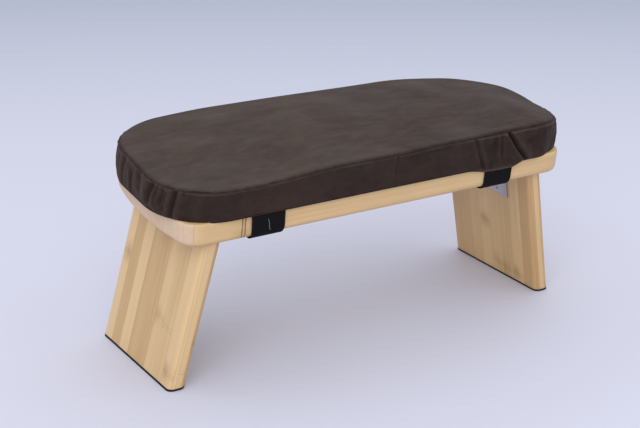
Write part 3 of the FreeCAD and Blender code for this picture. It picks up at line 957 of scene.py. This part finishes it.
def inflate(rows, cushion):
    """Cloth simulation of the filled cover. The seams hold, the foam holds the top, the board holds the base."""
    count = rows.shape[1]
    points = board_points(rows.reshape(-1, 3))
    sack = mesh_object("cushion_sack", points, grid_faces(rows.shape[0], count))
    hold = sack.vertex_groups.new(name="held")
    for row, (kind, share) in enumerate(SIM_ROWS):
        if kind == "base":
            weight = 1.0
        elif row in (SIM_SEAM, SIM_HEM):
            weight = 0.85
        elif kind == "top":
            weight = 0.12 + 0.3 * share
        else:
            weight = 0.05
        hold.add(list(range(row * count, (row + 1) * count)), weight, "REPLACE")
    cloth = sack.modifiers.new("Cloth", "CLOTH")
    cloth.settings.quality = 5
    cloth.settings.mass = 0.25
    cloth.settings.tension_stiffness = 18
    cloth.settings.compression_stiffness = 12
    cloth.settings.shear_stiffness = 6
    cloth.settings.bending_stiffness = 0.35
    cloth.settings.vertex_group_mass = "held"
    cloth.settings.pin_stiffness = 1.0
    cloth.settings.use_pressure = True
    cloth.settings.uniform_pressure_force = cushion.pressure
    cloth.settings.effector_weights.gravity = 0.0
    cloth.collision_settings.use_collision = False
    cloth.collision_settings.use_self_collision = False
    cloth.point_cache.frame_start = 1
    cloth.point_cache.frame_end = cushion.steps
    for step in range(1, cushion.steps + 1):
        bpy.context.scene.frame_set(step)
    graph = bpy.context.evaluated_depsgraph_get()
    evaluated = sack.evaluated_get(graph)
    blown = np.empty(len(points) * 3)
    evaluated.data.vertices.foreach_get("co", blown)
    blown = blown.reshape(-1, 3)
    bpy.data.objects.remove(sack)
    bpy.context.scene.frame_set(1)
    inverse = np.array(BOARD.inverted())
    local = blown @ inverse[:3, :3].T + inverse[:3, 3]
    move = local.reshape(rows.shape) - rows
    far = np.linalg.norm(move, axis=2, keepdims=True)
    move *= np.minimum(1.0, 0.005 / np.maximum(far, 1e-9))
    return move


def cubic(values, at, closed):
    """Values between the rows of an array, by a cubic through the four nearest."""
    count = len(values)
    base = np.floor(at).astype(int)
    t = (at - base).reshape((-1,) + (1,) * (values.ndim - 1))

    def pick(offset):
        """The row so many places on from each point's own."""
        index = base + offset
        return values[index % count if closed else np.clip(index, 0, count - 1)]

    a, b, c, d = pick(-1), pick(0), pick(1), pick(2)
    return b + 0.5 * t * (c - a + t * (2 * a - 5 * b + 4 * c - d + t * (3 * (b - c) + d - a)))


def row_number(kind, share):
    """The simulated row, with a fraction, where a share of a panel lies."""
    shares, first = {"top": (TOP_SHARES + [0.0], 0), "side": (SIDE_SHARES, SIM_SEAM),
                     "base": ([0.0] + BASE_SHARES, SIM_HEM)}[kind]
    order = np.argsort(shares)
    return first + np.interp(share, np.array(shares)[order], order)


def smooth_noise(seed, points, size, count=60):
    """A smooth random field with a typical size, from a sum of seeded waves."""
    chance = np.random.default_rng(seed)
    total = np.zeros(points.shape[:-1])
    for _ in range(count):
        direction = chance.normal(size=points.shape[-1])
        direction /= np.linalg.norm(direction)
        total += np.cos(points @ direction * (2 * math.pi / size) * chance.uniform(0.6,
                                                                                   1.5) + chance.uniform(0,
                                                                                                         6.28))
    return total * math.sqrt(2 / count)


def panel_rows(kind, shares, rim, cushion, move, folds):
    """One panel of the cover in fine rows: the drawn section plus what the simulation moved."""
    drawn = section(rim, cushion, [(kind, q) for q in shares], 0.0, folds)
    if move is not None:
        at = np.array([row_number(kind, q) for q in shares])
        columns = np.arange(len(rim.s)) * (SIM_COUNT / len(rim.s))
        shifted = cubic(cubic(move, at, False).transpose(1, 0, 2), columns, True).transpose(1, 0, 2)
        drawn = drawn + shifted
    return drawn


def cover_panel(name, points, rubbed, material, thickness):
    """A panel of the cover as cloth of some thickness. It carries how far its nap has wear from rubbing, together with
    the painted highlight and painted shade that its colour takes.
    """
    rows, columns = points.shape[:2]
    panel = mesh_object(name, board_points(points.reshape(-1, 3)), grid_faces(rows, columns), material)
    panel.data.attributes.new("rubbed", "FLOAT", "POINT").data.foreach_set("value",
                                                                           np.clip(rubbed, -1, 1).ravel())
    merged(panel, 0.00002)
    wall = panel.modifiers.new("Cloth thickness", "SOLIDIFY")
    wall.thickness = thickness
    wall.offset = -1
    return settled(panel)


class BENCH_OT_cushion(Operator):
    """Fills, gathers and seams the cushion's suede cover over its foam"""

    bl_idname = "bench.cushion"
    bl_label = "Cushion"

    def execute(self, context):
        cushion = context.scene.bench_cushion
        folds = STRAP_FOLDS + LEFT_FOLDS + end_gathers()
        coarse = Rim(cushion, SIM_COUNT)
        half = [(a, b, c, d, e, f * 0.6) for a, b, c, d, e, f in folds]
        rows = section(coarse, cushion, SIM_ROWS, 0.0, half)
        move = inflate(rows, cushion)
        if move is not None:
            move[SIM_HEM + 1:] = 0
        rim = Rim(cushion, 2 * SIM_COUNT)
        outward = np.column_stack([rim.out, np.zeros(len(rim.s))])
        group = shared("Suede nap")
        top = self.top(rim, outward, cushion, move, folds)
        side = self.side(rim, outward, cushion, move, folds)
        base = self.base(rim, outward, cushion, move, folds)
        # painted shade: the boxing and the base get the top's suede darkened by the side colour
        for name, (points, rubbed), tint in (("cushion_cover_top", top, (1, 1, 1)),
                                             ("cushion_cover_boxing", side, cushion.side),
                                             ("cushion_cover_base", base, cushion.side)):
            suede = surface(
                f"Suede {name}", group, lambda s: s.place(BOARD), Rubbed=attribute_of("rubbed"),
                Dark=rgba(np.multiply(cushion.dark, tint)), Pale=rgba(np.multiply(cushion.pale, tint)),
                fixed={"Sheen Weight": 0.10, "Sheen Roughness": 0.5, "Sheen Tint": (0.75, 0.66, 0.62, 1.0),
                       "Specular IOR Level": 0.08})
            panel = cover_panel(name + "_cloth", points, rubbed, suede, cushion.fabric)
            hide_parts(name)
            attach(panel, "seat")
        self.foam(cushion)
        return {"FINISHED"}

    def top(self, rim, outward, cushion, move, folds):
        """The top panel, from its middle to the seam and then down into it."""
        shares = np.concatenate([np.linspace(1.0, 0.25, 16), np.linspace(0.22, 0.09, 8),
                                 np.linspace(0.08, 0.0, 16)])
        top = panel_rows("top", shares, rim, cushion, move, folds)
        inset = shares[:, None] * cushion.depth / 2
        pucker = 0.00030 * ease(-top[..., 1], -0.02,
                                0.06) * np.exp(-inset / 0.006) * smooth_noise(5, np.stack(np.broadcast_arrays(
            rim.s[None], inset * 0.4), -1), 0.011)
        lie = 0.0005 * smooth_noise(3, top[..., :2], 0.07) * ease(inset, 0.004, 0.03)
        top[..., 2] += pucker + lie - 0.0016 * np.exp(-((inset / 0.0014) ** 2))
        top[0] = meet_in_the_middle(top[0])
        # painted shade: the colour is darkened along the seam's groove
        rubbed = -0.9 * np.exp(-((inset / 0.0014) ** 2)) * np.ones(len(rim.s))
        tuck = [top[-1] + outward * -o + np.array([0, 0, -d]) for o,
                d in ((0.0005, 0.0010), (0.0024, 0.0018))]
        return np.concatenate([top, tuck]), np.concatenate([rubbed, rubbed[-1:], rubbed[-1:]])

    def side(self, rim, outward, cushion, move, folds):
        """The side band, from the seam down to the hem, with its seam ridge, its join and its creases."""
        shares = np.concatenate([np.linspace(0, 0.14, 12), np.linspace(0.17, 0.88, 24),
                                 np.linspace(0.91, 1, 6)])
        side = panel_rows("side", shares, rim, cushion, move, folds)
        fall = shares[:, None] * 0.034
        ridge = -0.0017 * np.exp(-((fall / 0.0012) ** 2)) + 0.0007 * wave(fall, 0.0027, 0.0012)
        ridge = ridge - 0.0012 * np.exp(-(((0.034 - fall) / 0.0016) ** 2))
        join = -0.0009 * wave(rim.walk[None], 0.0026, 0.0008) + 0.0005 * wave(rim.walk[None], 0.0050, 0.0014)
        spots = np.stack(np.broadcast_arrays(rim.s[None], fall * 0.6), -1)
        creases = 0.00022 * ease(-rim.xy[None, :, 1], -0.05, 0.03) * smooth_noise(8, spots,
                                                                                  0.020) + 0.00010 * smooth_noise(9, spots, 0.008)
        side = side + outward[None] * (ridge + join + creases)[..., None]
        sunk = fold_depth(folds, rim.walk[None],
                          np.broadcast_to(1 - shares[:, None], ridge.shape[:1] + (len(rim.s),)),
                          rim.total)
        # wear and painted highlight: the ridge below the seam is paled, more towards the right end; painted shade
        # darkens the seam's groove
        wear_and_highlight = 0.55 + 0.45 * ease(rim.xy[:, 0], 0.05, 0.14) + 0.25 * smooth_noise(10, rim.s[:, None], 0.06)
        rubbed = 0.90 * wave(fall, 0.0025, 0.0009) * wear_and_highlight - 0.9 * np.exp(-((fall / 0.0011) ** 2))
        # painted highlight: the hem's edge over the front right strap is paled
        hem_lip_highlight = 0.05 + 1.10 * ease(rim.walk, 0.094, 0.106) * (1 - ease(rim.walk, 0.136, 0.150))
        # painted shade darkens the folds' creases; painted highlight pales the folds' crests and the small creases'
        # crests
        rubbed = rubbed + hem_lip_highlight * wave(fall, 0.0330, 0.0012) - np.clip(sunk / 0.0040, 0, 0.75)
        rubbed = rubbed + 0.22 * np.clip(-sunk / 0.0010, 0, 1) + 0.06 * np.clip(creases / 0.0003, 0, 1)
        drop = np.array([0, 0, 1.0])
        first = [side[0] + outward * -0.0026 + drop * 0.0006, side[0] + outward * -0.0008]
        last = [side[-1] + outward * -0.0012 + drop * 0.0007, side[-1] + outward * -0.0030 + drop * 0.0009]
        none = np.zeros((2, len(rim.s)))
        return np.concatenate([first, side, last]), np.concatenate([none, rubbed, none])

    def base(self, rim, outward, cushion, move, folds):
        """The base panel, from the hem to its middle, flat on the board."""
        shares = np.concatenate([np.linspace(0, 0.1, 8), np.linspace(0.15, 1.0, 12)])
        base = panel_rows("base", shares, rim, cushion, move, folds)
        base[-1] = meet_in_the_middle(base[-1])
        base = np.concatenate([[base[0] + outward * -0.0016 + np.array([0, 0, 0.0012])], base])
        return base, np.zeros(base.shape[:2])

    def foam(self, cushion):
        """The foam core: a block with eased edges, a little smaller than the cover."""
        rim = Rim(cushion, 160)
        rows = []
        low, high = BOARD_THICKNESS + 0.0025, 0.0500
        for share, step in ((1.0, 0.0), (0.4, 0.0), (0.045, 0.0), (0.02, 0.2), (0.012, 0.5), (0.02, 0.8),
                            (0.045, 1.0),
                            (0.4, 1.0), (1.0, 1.0)):
            focus = np.stack([rim.xy[:, 0] * 0.64 + cushion.shift * 0.36, np.zeros(len(rim.s))], 1)
            xy = rim.xy - rim.out * 0.0045
            xy = xy + (focus - xy) * share
            rows.append(np.column_stack([xy, np.full(len(rim.s), high - (high - low) * step)]))
        rows = np.array(rows)
        rows[0], rows[-1] = meet_in_the_middle(rows[0]), meet_in_the_middle(rows[-1])
        foam = surface("Foam", shared("Foam cells"), lambda s: s.place())
        core = mesh_object("cushion_foam_core", board_points(rows.reshape(-1, 3)), grid_faces(len(rows), 160),
                           foam)
        merged(core, 0.00002)
        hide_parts("cushion_foam")
        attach(core, "seat")


def swept_band(name, path, normals, width, thickness, x, material):
    """Webbing along a path in the board's y-z plane, with rounded selvedges and a UV map in metres."""
    half = width / 2
    round_off = thickness / 2
    ring = []
    for side in (1, -1):
        xs = np.linspace(-half + round_off, half - round_off, 13) * side
        ring += [(px, round_off * side) for px in xs]
        for angle in (60, 30, 0, -30, -60):
            a = math.radians(angle)
            ring.append((side * (half - round_off + round_off * math.cos(a)), side * round_off * math.sin(a)))
    ring = np.array(ring)
    steps = np.concatenate([[0], np.cumsum(np.linalg.norm(np.diff(path, axis=0), axis=1))])
    rows = []
    for here, normal, along in zip(path, normals, steps):
        wander = 0.00025 * math.sin(along * 130 + x * 50)
        drawn_in = 1 - 0.07 * float(ease(np.array(along), 0.0165, 0.0255))
        px = x + np.where(ring[:, 0] > 0, ring[:, 0] * drawn_in, ring[:, 0]) + wander
        lift = 1 + 0.12 * np.exp(-((half - np.abs(ring[:, 0])) / 0.0016) ** 2)
        py = here[0] + normal[0] * ring[:, 1] * lift
        pz = here[1] + normal[1] * ring[:, 1] * lift
        rows.append(np.column_stack([px, py, pz]))
    rows = np.array(rows)
    count = len(ring)
    band = lofted(name, board_points(rows.reshape(-1, 3)).reshape(rows.shape), material)
    layer = band.data.uv_layers.new(name="Webbing")
    across, along = np.tile(ring[:, 0] + half, len(rows)), np.repeat(steps, count)
    for loop in band.data.loops:
        layer.data[loop.index].uv = (across[loop.vertex_index], along[loop.vertex_index])
    return band


class BENCH_OT_straps(Operator):
    """Lays the four straps from the hem round the board's lower edge to their hook tape, and sews their ends"""

    bl_idname = "bench.straps"
    bl_label = "Straps"

    def execute(self, context):
        straps = context.scene.bench_straps
        group = shared("Webbing weave")
        finish = {"Specular IOR Level": 0.16}
        thread = surface("Strap thread", shared("Moulded pebble"), lambda s: s.place(), Size=0.0003,
                         fixed={"Specular IOR Level": 0.5})
        stitch = self.stitch()
        for end_name, end in (("front", -1), ("back", 1)):
            for side_name, side in (("left", -1), ("right", 1)):
                x = side * straps.spacing / 2 + straps.shift
                name = f"{end_name}_{side_name}_strap"
                web = surface(f"Webbing {name}", group, lambda s: s.place(source="UV"),
                              Color=rgba(straps.colour),
                              Width=straps.width, Lint=1.0 if name == "front_left_strap" else 0.0,
                              fixed=finish)
                path, normals = self.path(end, straps)
                band = swept_band(name + "_webbing", path, normals, straps.width, straps.thickness, x, web)
                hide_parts(name)
                points, turns = self.stitch_places(end, x, straps)
                sewn = copied(name + "_stitches", stitch, points, turns, thread, BOARD)
                for piece in (band, sewn):
                    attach(piece, "seat")
        bpy.data.objects.remove(stitch)
        return {"FINISHED"}

    def stitch(self):
        """One stitch: a short thread that dips at both ends."""
        rings = []
        for t in np.linspace(-1, 1, 7):
            angles = np.linspace(0, 2 * math.pi, 8, endpoint=False)
            radius = 0.00026 * math.sqrt(max(0.15, 1 - t ** 4))
            rings.append(np.column_stack([np.full(8, t * 0.0012), radius * np.cos(angles),
                                          radius * np.sin(angles) + 0.0002 * (t * t - 0.5)]))
        return lofted("stitch", np.array(rings), None)

    def stitch_places(self, end, x, straps):
        """Where the stitches lie: a rectangle sewn through the strap's end under the board."""
        under = -1.2 * MM - straps.thickness * 1.02
        across, first, last, pitch = straps.width / 2 - 5 * MM, straps.reach + 4 * MM, straps.reach + 26 * MM, 3.1 * MM
        points, turns = [], []
        for ax, ay, bx, by in ((-across, first, across, first), (-across, last, across, last),
                               (-across, first, -across, last), (across, first, across, last)):
            length = math.hypot(bx - ax, by - ay)
            for step in (np.arange(int(length / pitch)) + 0.5) / int(length / pitch):
                points.append((x + ax + (bx - ax) * step, end * (ay + (by - ay) * step), under))
                turns.append((0, 0, math.atan2(by - ay, bx - ax)))
        return points, turns

    def path(self, end, straps):
        """The middle of the webbing: down the board's edge, round its lower corner and along its underside."""
        half = straps.thickness / 2
        edge = BOARD_DEPTH / 2 + 0.35 * MM + half
        bend = 7.0 * MM + half
        centre = (edge - bend, bend - 1.2 * MM - half)
        points = [(edge + 0.3 * MM, 24.2 * MM), (edge + 0.5 * MM, 20 * MM), (edge + 0.3 * MM, 16 * MM),
                  (edge, 12 * MM), (edge, centre[1] + 2 * MM)]
        points += [(centre[0] + bend * math.cos(a), centre[1] - bend * math.sin(a))
                   for a in np.linspace(0, math.pi / 2, 13)]
        under = centre[1] - bend
        points += [(u, under) for u in np.linspace(centre[0] - 2 * MM, straps.reach, 10)]
        points = np.array(points) * np.array([end, 1])
        tangent = np.gradient(points, axis=0)
        tangent /= np.linalg.norm(tangent, axis=1, keepdims=True)
        normals = np.column_stack([-tangent[:, 1], tangent[:, 0]]) * end
        return points, normals


class BENCH_OT_hook_tape(Operator):
    """Gives the hook tape under the board its material"""

    bl_idname = "bench.hook_tape"
    bl_label = "Hook tape"

    def execute(self, context):
        tape = surface("Hook tape", shared("Moulded pebble"), lambda s: s.place(), Size=0.0012,
                       fixed={"Specular IOR Level": 0.4})
        for end in ("front", "back"):
            for side in ("left", "right"):
                dress(f"{end}_{side}_hook_tape", tape)
        return {"FINISHED"}


def dress(node, material):
    """Give a CAD node a material of its own."""
    mesh = frame["nodes"][node].data
    mesh.materials.clear()
    mesh.materials.append(material)


class BENCH_OT_timber(Operator):
    """Shapes the seat board and the legs and gives them their glued bamboo"""

    bl_idname = "bench.timber"
    bl_label = "Timber"

    def execute(self, context):
        timber = context.scene.bench_timber
        group = shared("Bamboo strips")
        finish = {"Specular IOR Level": 0.28, "Coat Weight": 0.10, "Coat Roughness": 0.35}
        colours = {"Pale": rgba(timber.pale), "Deep": rgba(timber.deep), "Node": rgba(timber.joint),
                   "End": rgba(timber.end)}
        turn = Matrix(((0, 0, 1), (1, 0, 0), (0, 1, 0))).to_4x4()
        wood = surface("Bamboo board", group, lambda s: s.place(BOARD @ turn), fixed=finish,
                       Facing=facing(BOARD @ turn), Strip=timber.board_strip, Layer=0.2, Layer_Shift=0.5,
                       Seed=3.0, Contrast=0.4,
                       Node_Spacing=0.5, Node_Line=1.0, Node_Shift=timber.board_node, Node_Spread=0.0,
                       **colours)
        board = lofted("seat_board_timber", self.board_rings(), wood)
        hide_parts("seat_board")
        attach(board, "seat")
        for side in SIDES:
            turn = Matrix(((0, -1, 0), (1, 0, 0), (0, 0, 1))).to_4x4()
            seed = timber.left_seed if side == "left" else timber.right_seed
            wood = surface(f"Bamboo {side} leg", group, lambda s: s.place(leg_frame(side) @ turn),
                           fixed=finish,
                           Facing=facing(leg_frame(side) @ turn), Strip=timber.leg_strip,
                           Layer=timber.leg_layer,
                           Layer_Shift=-0.08,
                           Seed=seed, Contrast=1.0, **colours)
            leg = lofted(f"{side}_leg_timber", leg_rings(side, 0.0, PAD_THICKNESS, 0.5 * MM), wood)
            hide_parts(f"{side}_leg")
            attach(leg, f"{side}_leg")
        return {"FINISHED"}

    def board_rings(self):
        """The board's outline from the underside up: a rolled lower edge and an eased upper one."""
        rings = [(BOARD_EDGE + 1.5 * MM, 0.0)]
        for angle in np.radians(np.linspace(0, 90, 10)):
            rings.append((BOARD_EDGE * (1 - math.sin(angle)), BOARD_EDGE * (1 - math.cos(angle))))
        rings.append((0.0, BOARD_EDGE + 1.5 * MM))
        rings.append((0.0, BOARD_THICKNESS - BOARD_EASE - 1.5 * MM))
        for angle in np.radians(np.linspace(0, 90, 6)):
            rings.append((BOARD_EASE * (1 - math.cos(angle)),
                          BOARD_THICKNESS - BOARD_EASE * (1 - math.sin(angle))))
        rings.append((BOARD_EASE + 1.5 * MM, BOARD_THICKNESS))
        made = []
        for inset, z in rings:
            plan = board_ring(inset)
            made.append(board_points(np.column_stack([plan, np.full(len(plan), z)])))
        return np.array(made)


def leg_rings(side, proud, foot, soft):
    """A leg's section from a level foot up to the board's underside, its ends softened a little."""
    frame_of_leg = leg_frame(side)
    across = np.array(frame_of_leg)
    to_board = np.array(BOARD.inverted() @ frame_of_leg)
    radius = LEG_EDGE + proud

    def cut(ring, matrix, level):
        """How far along the leg each point of its ring meets a level."""
        flat = np.column_stack([ring, np.zeros(len(ring))])
        return (level - (flat @ matrix[2, :3] + matrix[2, 3])) / matrix[2, 2]

    stations = [("foot", soft + 1.5 * MM, 0.0), ("foot", soft, 0.0), ("foot", soft * 0.3, soft * 0.3),
                ("foot", 0.0, soft), ("foot", 0.0, soft + 1.5 * MM), ("top", 0.0, soft + 1.5 * MM),
                ("top", 0.0, soft),
                ("top", soft * 0.3, soft * 0.3), ("top", soft, 0.0), ("top", soft + 1.5 * MM, 0.0)]
    if foot == 0.0:
        stations = stations[:5]
    rings = []
    for kind, inset, away in stations:
        ring = slab_ring(-proud, LEG_THICKNESS + proud, LEG_WIDTH / 2 + proud, radius, inset)
        if kind == "foot":
            z = cut(ring, across, foot) + away
        else:
            z = cut(ring, to_board, -STOP_GAP) - away
        rings.append(row_points(across, np.column_stack([ring, z])))
    if foot == 0.0:
        for inset, down in ((0.0, soft + 0.3 * MM), (soft * 0.3, soft * 0.3), (soft, 0.0),
                            (soft + 1.5 * MM, 0.0)):
            ring = slab_ring(-proud, LEG_THICKNESS + proud, LEG_WIDTH / 2 + proud, radius, inset)
            z = cut(ring, across, PAD_THICKNESS) - down
            rings.append(row_points(across, np.column_stack([ring, z])))
        del rings[4]
    return np.array(rings)


class BENCH_OT_foot_pads(Operator):
    """Shapes the rubber pads under the legs"""

    bl_idname = "bench.foot_pads"
    bl_label = "Foot pads"

    def execute(self, context):
        rubber = surface("Foot rubber", shared("Moulded pebble"), lambda s: s.place(), Size=0.0007, Dust=0.35,
                         fixed={"Specular IOR Level": 0.3})
        for side in SIDES:
            pad = lofted(f"{side}_foot_pad_rubber", leg_rings(side, PAD_PROUD, 0.0, 0.3 * MM), rubber)
            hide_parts(f"{side}_foot_pad")
            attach(pad, f"{side}_leg")
        return {"FINISHED"}


class BENCH_OT_hinges(Operator):
    """Eases the edges of the hinge leaves and pins and gives them their brushed steel"""

    bl_idname = "bench.hinges"
    bl_label = "Hinges"

    def execute(self, context):
        hardware = context.scene.bench_hardware
        group = shared("Brushed steel")
        for side in SIDES:
            for wood, body in (("board", "seat"), ("leg", f"{side}_leg")):
                steel = surface(f"Leaf steel {side} {wood}", group, lambda s: s.place(leaf_frame(side, wood)),
                                Color=rgba(hardware.steel), fixed={"Metallic": 1.0})
                leaf = softened(f"{side}_hinge_{wood}_leaf", steel, 0.25 * MM)
                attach(leaf, body)
            steel = surface(f"Pin steel {side}", group, lambda s: s.place(leaf_frame(side, "board")),
                            Color=rgba(hardware.steel), fixed={"Metallic": 1.0})
            pin = softened(f"{side}_hinge_pin", steel, 0.35 * MM)
            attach(pin, "seat")
        return {"FINISHED"}


class BENCH_OT_screws(Operator):
    """Cuts a cross recess in a countersunk screw and drives a copy into each of the leaves' holes"""

    bl_idname = "bench.screws"
    bl_label = "Screws"

    def execute(self, context):
        hardware = context.scene.bench_hardware
        steel = surface("Screw steel", shared("Brushed steel"), lambda s: s.place(),
                        Color=rgba(hardware.steel), Grain=4.0,
                        fixed={"Metallic": 1.0})
        screw = self.screw(hardware)
        chance = np.random.default_rng(4)
        head = PIN_DEPTH - LEAF_THICKNESS + 0.05 * MM
        for side in SIDES:
            for wood, body in (("board", "seat"), ("leg", f"{side}_leg")):
                node = f"{side}_hinge_{wood}_screws"
                points = [(x, y, head) for x, y in SCREW_PLACES]
                turns = [(0, 0, chance.uniform(0, math.pi / 2)) for _ in points]
                driven = copied(node + "_driven", screw, points, turns, steel, leaf_frame(side, wood))
                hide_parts(node)
                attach(driven, body)
        bpy.data.objects.remove(screw)
        return {"FINISHED"}

    def screw(self, hardware):
        """One screw with its head at z = 0, its point along +z, and a tapered cross cut into the head."""
        head, shank, length = hardware.head, hardware.shank, hardware.length
        stations = [(0.0, head - 0.5 * MM), (0.0, head - 0.14 * MM), (0.05 * MM, head - 0.04 * MM),
                    (0.16 * MM, head),
                    (2.1 * MM, shank), (3.0 * MM, shank * 0.92), (length - 4 * MM, shank * 0.86),
                    (length, 0.3 * MM)]
        made = lofted("screw", self.turned(stations, 40), None)
        for turn in (0, 90):
            blade = []
            for z, reach, half in ((-0.5 * MM, 2.2 * MM, 0.62 * MM), (1.6 * MM, 0.9 * MM, 0.42 * MM)):
                corners = np.array([(reach, half), (-reach, half), (-reach, -half), (reach, -half)])
                a = math.radians(turn)
                corners = corners @ np.array([[math.cos(a), math.sin(a)], [-math.sin(a), math.cos(a)]])
                blade.append(np.column_stack([corners, np.full(4, z)]))
            cutter = lofted("cutter", np.array(blade), None)
            cut = made.modifiers.new("Recess", "BOOLEAN")
            cut.operation = "DIFFERENCE"
            cut.solver = "EXACT"
            cut.object = cutter
            made = settled(made)
            bpy.data.objects.remove(cutter)
        made.data.shade_smooth()
        made.data.set_sharp_from_angle(angle=math.radians(30))
        return made

    def turned(self, stations, sides):
        """Rings of a turned bar about the z axis."""
        angles = np.linspace(0, 2 * math.pi, sides, endpoint=False)
        return np.array([np.column_stack([r * np.cos(angles), r * np.sin(angles), np.full(sides, z)])
                         for z, r in stations])


def lamp(name, place, target, power, size, colour=(1.0, 1.0, 1.0)):
    """A square area lamp aimed at a point."""
    data = bpy.data.lights.new(name, "AREA")
    data.energy, data.size, data.color = power, size, colour
    made = bpy.data.objects.new(name, data)
    made.location = place
    made.rotation_euler = (Vector(target) - Vector(place)).to_track_quat("-Z", "Y").to_euler()
    bpy.context.scene.collection.objects.link(made)
    return made


class BENCH_OT_stage(Operator):
    """Sets the camera, the pale floor and the soft lamps"""

    bl_idname = "bench.stage"
    bl_label = "Stage"

    def execute(self, context):
        stage = context.scene.bench_stage
        scene = context.scene
        scene.view_settings.view_transform = "Standard"
        self.camera(scene)
        self.floor(stage)
        self.surround(scene, stage)
        lamp("key_lamp", (-1.5, -1.9, 1.9), (0, 0, 0.1), stage.key, 2.4)
        lamp("top_lamp", (0.4, 0.3, 2.2), (0, 0, 0.1), stage.top, 3.0)
        return {"FINISHED"}

    def camera(self, scene):
        """The photographer's viewpoint, fitted to the bench's own edges."""
        azimuth, elevation = math.radians(-31.493), math.radians(20.300)
        data = bpy.data.cameras.new("camera")
        data.sensor_width = 36.0
        data.lens = 70.725
        data.clip_end = 50
        made = bpy.data.objects.new("camera", data)
        made.location = (-0.642317, -1.000142, 0.551905)
        made.rotation_euler = (math.pi / 2 - elevation, 0, azimuth)
        scene.collection.objects.link(made)
        scene.camera = made

    def floor(self, stage):
        """A plain pale floor, just under the feet, with painted shade that darkens it a little far behind the bench.
        """
        size, level = 12.0, -0.2 * MM
        points = [(-size, -size, level), (size, -size, level), (size, size, level), (-size, size, level)]
        material = bpy.data.materials.new("Pale floor")
        material.use_nodes = True
        s = Steps(material.node_tree)
        shader = material.node_tree.nodes["Principled BSDF"]
        x, y, _ = s.split(s.place())
        # painted shade: the colour blends towards the far colour with distance behind the bench
        away = s.math("ADD", s.math("MULTIPLY", x, 0.54), s.math("MULTIPLY", y, 0.84))
        s.feed(shader.inputs["Base Color"],
               s.blend(s.span(away, 0.3, 2.2), rgba(stage.floor), rgba(stage.far)))
        shader.inputs["Roughness"].default_value = 0.6
        shader.inputs["Specular IOR Level"].default_value = 0.2
        mesh_object("floor", points, [(0, 1, 2, 3)], material, smooth=False)

    def surround(self, scene, stage):
        """Even light from all round; a camera or a mirror sees the pale backdrop there."""
        world = bpy.data.worlds.new("Surround")
        world.use_nodes = True
        s = Steps(world.node_tree)
        light = world.node_tree.nodes["Background"]
        light.inputs["Color"].default_value = (0.93, 0.95, 1.0, 1.0)
        light.inputs["Strength"].default_value = stage.sky
        seen = s.add("ShaderNodeBackground")
        seen.inputs["Color"].default_value = (0.50, 0.52, 0.62, 1.0)
        path = s.add("ShaderNodeLightPath")
        either = s.math("MAXIMUM", path.outputs["Is Camera Ray"], path.outputs["Is Glossy Ray"])
        either = s.math("MAXIMUM", either, path.outputs["Is Transmission Ray"])
        mixed = s.add("ShaderNodeMixShader")
        s.feed(mixed.inputs[0], either)
        s.feed(mixed.inputs[1], light.outputs[0])
        s.feed(mixed.inputs[2], seen.outputs[0])
        s.feed(world.node_tree.nodes["World Output"].inputs[0], mixed.outputs[0])
        scene.world = world


class BENCH_PT_panel(Panel):
    bl_label = "Meditation bench"
    bl_idname = "BENCH_PT_panel"
    bl_space_type = "VIEW_3D"
    bl_region_type = "UI"
    bl_category = "Bench"

    def draw(self, context):
        for operator in OPERATORS:
            self.layout.operator(operator.bl_idname)
        for name, settings in SETTINGS.items():
            box = self.layout.box()
            for label in settings.__annotations__:
                box.prop(getattr(context.scene, name), label)


OPERATORS = (BENCH_OT_stage, BENCH_OT_timber, BENCH_OT_foot_pads, BENCH_OT_hinges, BENCH_OT_screws,
             BENCH_OT_hook_tape, BENCH_OT_straps, BENCH_OT_cushion)


def register():
    for kind in (*SETTINGS.values(), *OPERATORS, BENCH_PT_panel):
        bpy.utils.register_class(kind)
    for name, settings in SETTINGS.items():
        setattr(bpy.types.Scene, name, PointerProperty(type=settings))


def unregister():
    for name in SETTINGS:
        delattr(bpy.types.Scene, name)
    for kind in reversed((*SETTINGS.values(), *OPERATORS, BENCH_PT_panel)):
        bpy.utils.unregister_class(kind)


def main():
    """Builds every piece and the stage."""
    register()
    for operator in OPERATORS:
        group, name = operator.bl_idname.split(".")
        getattr(getattr(bpy.ops, group), name)()


if __name__ == "__main__":
    main()
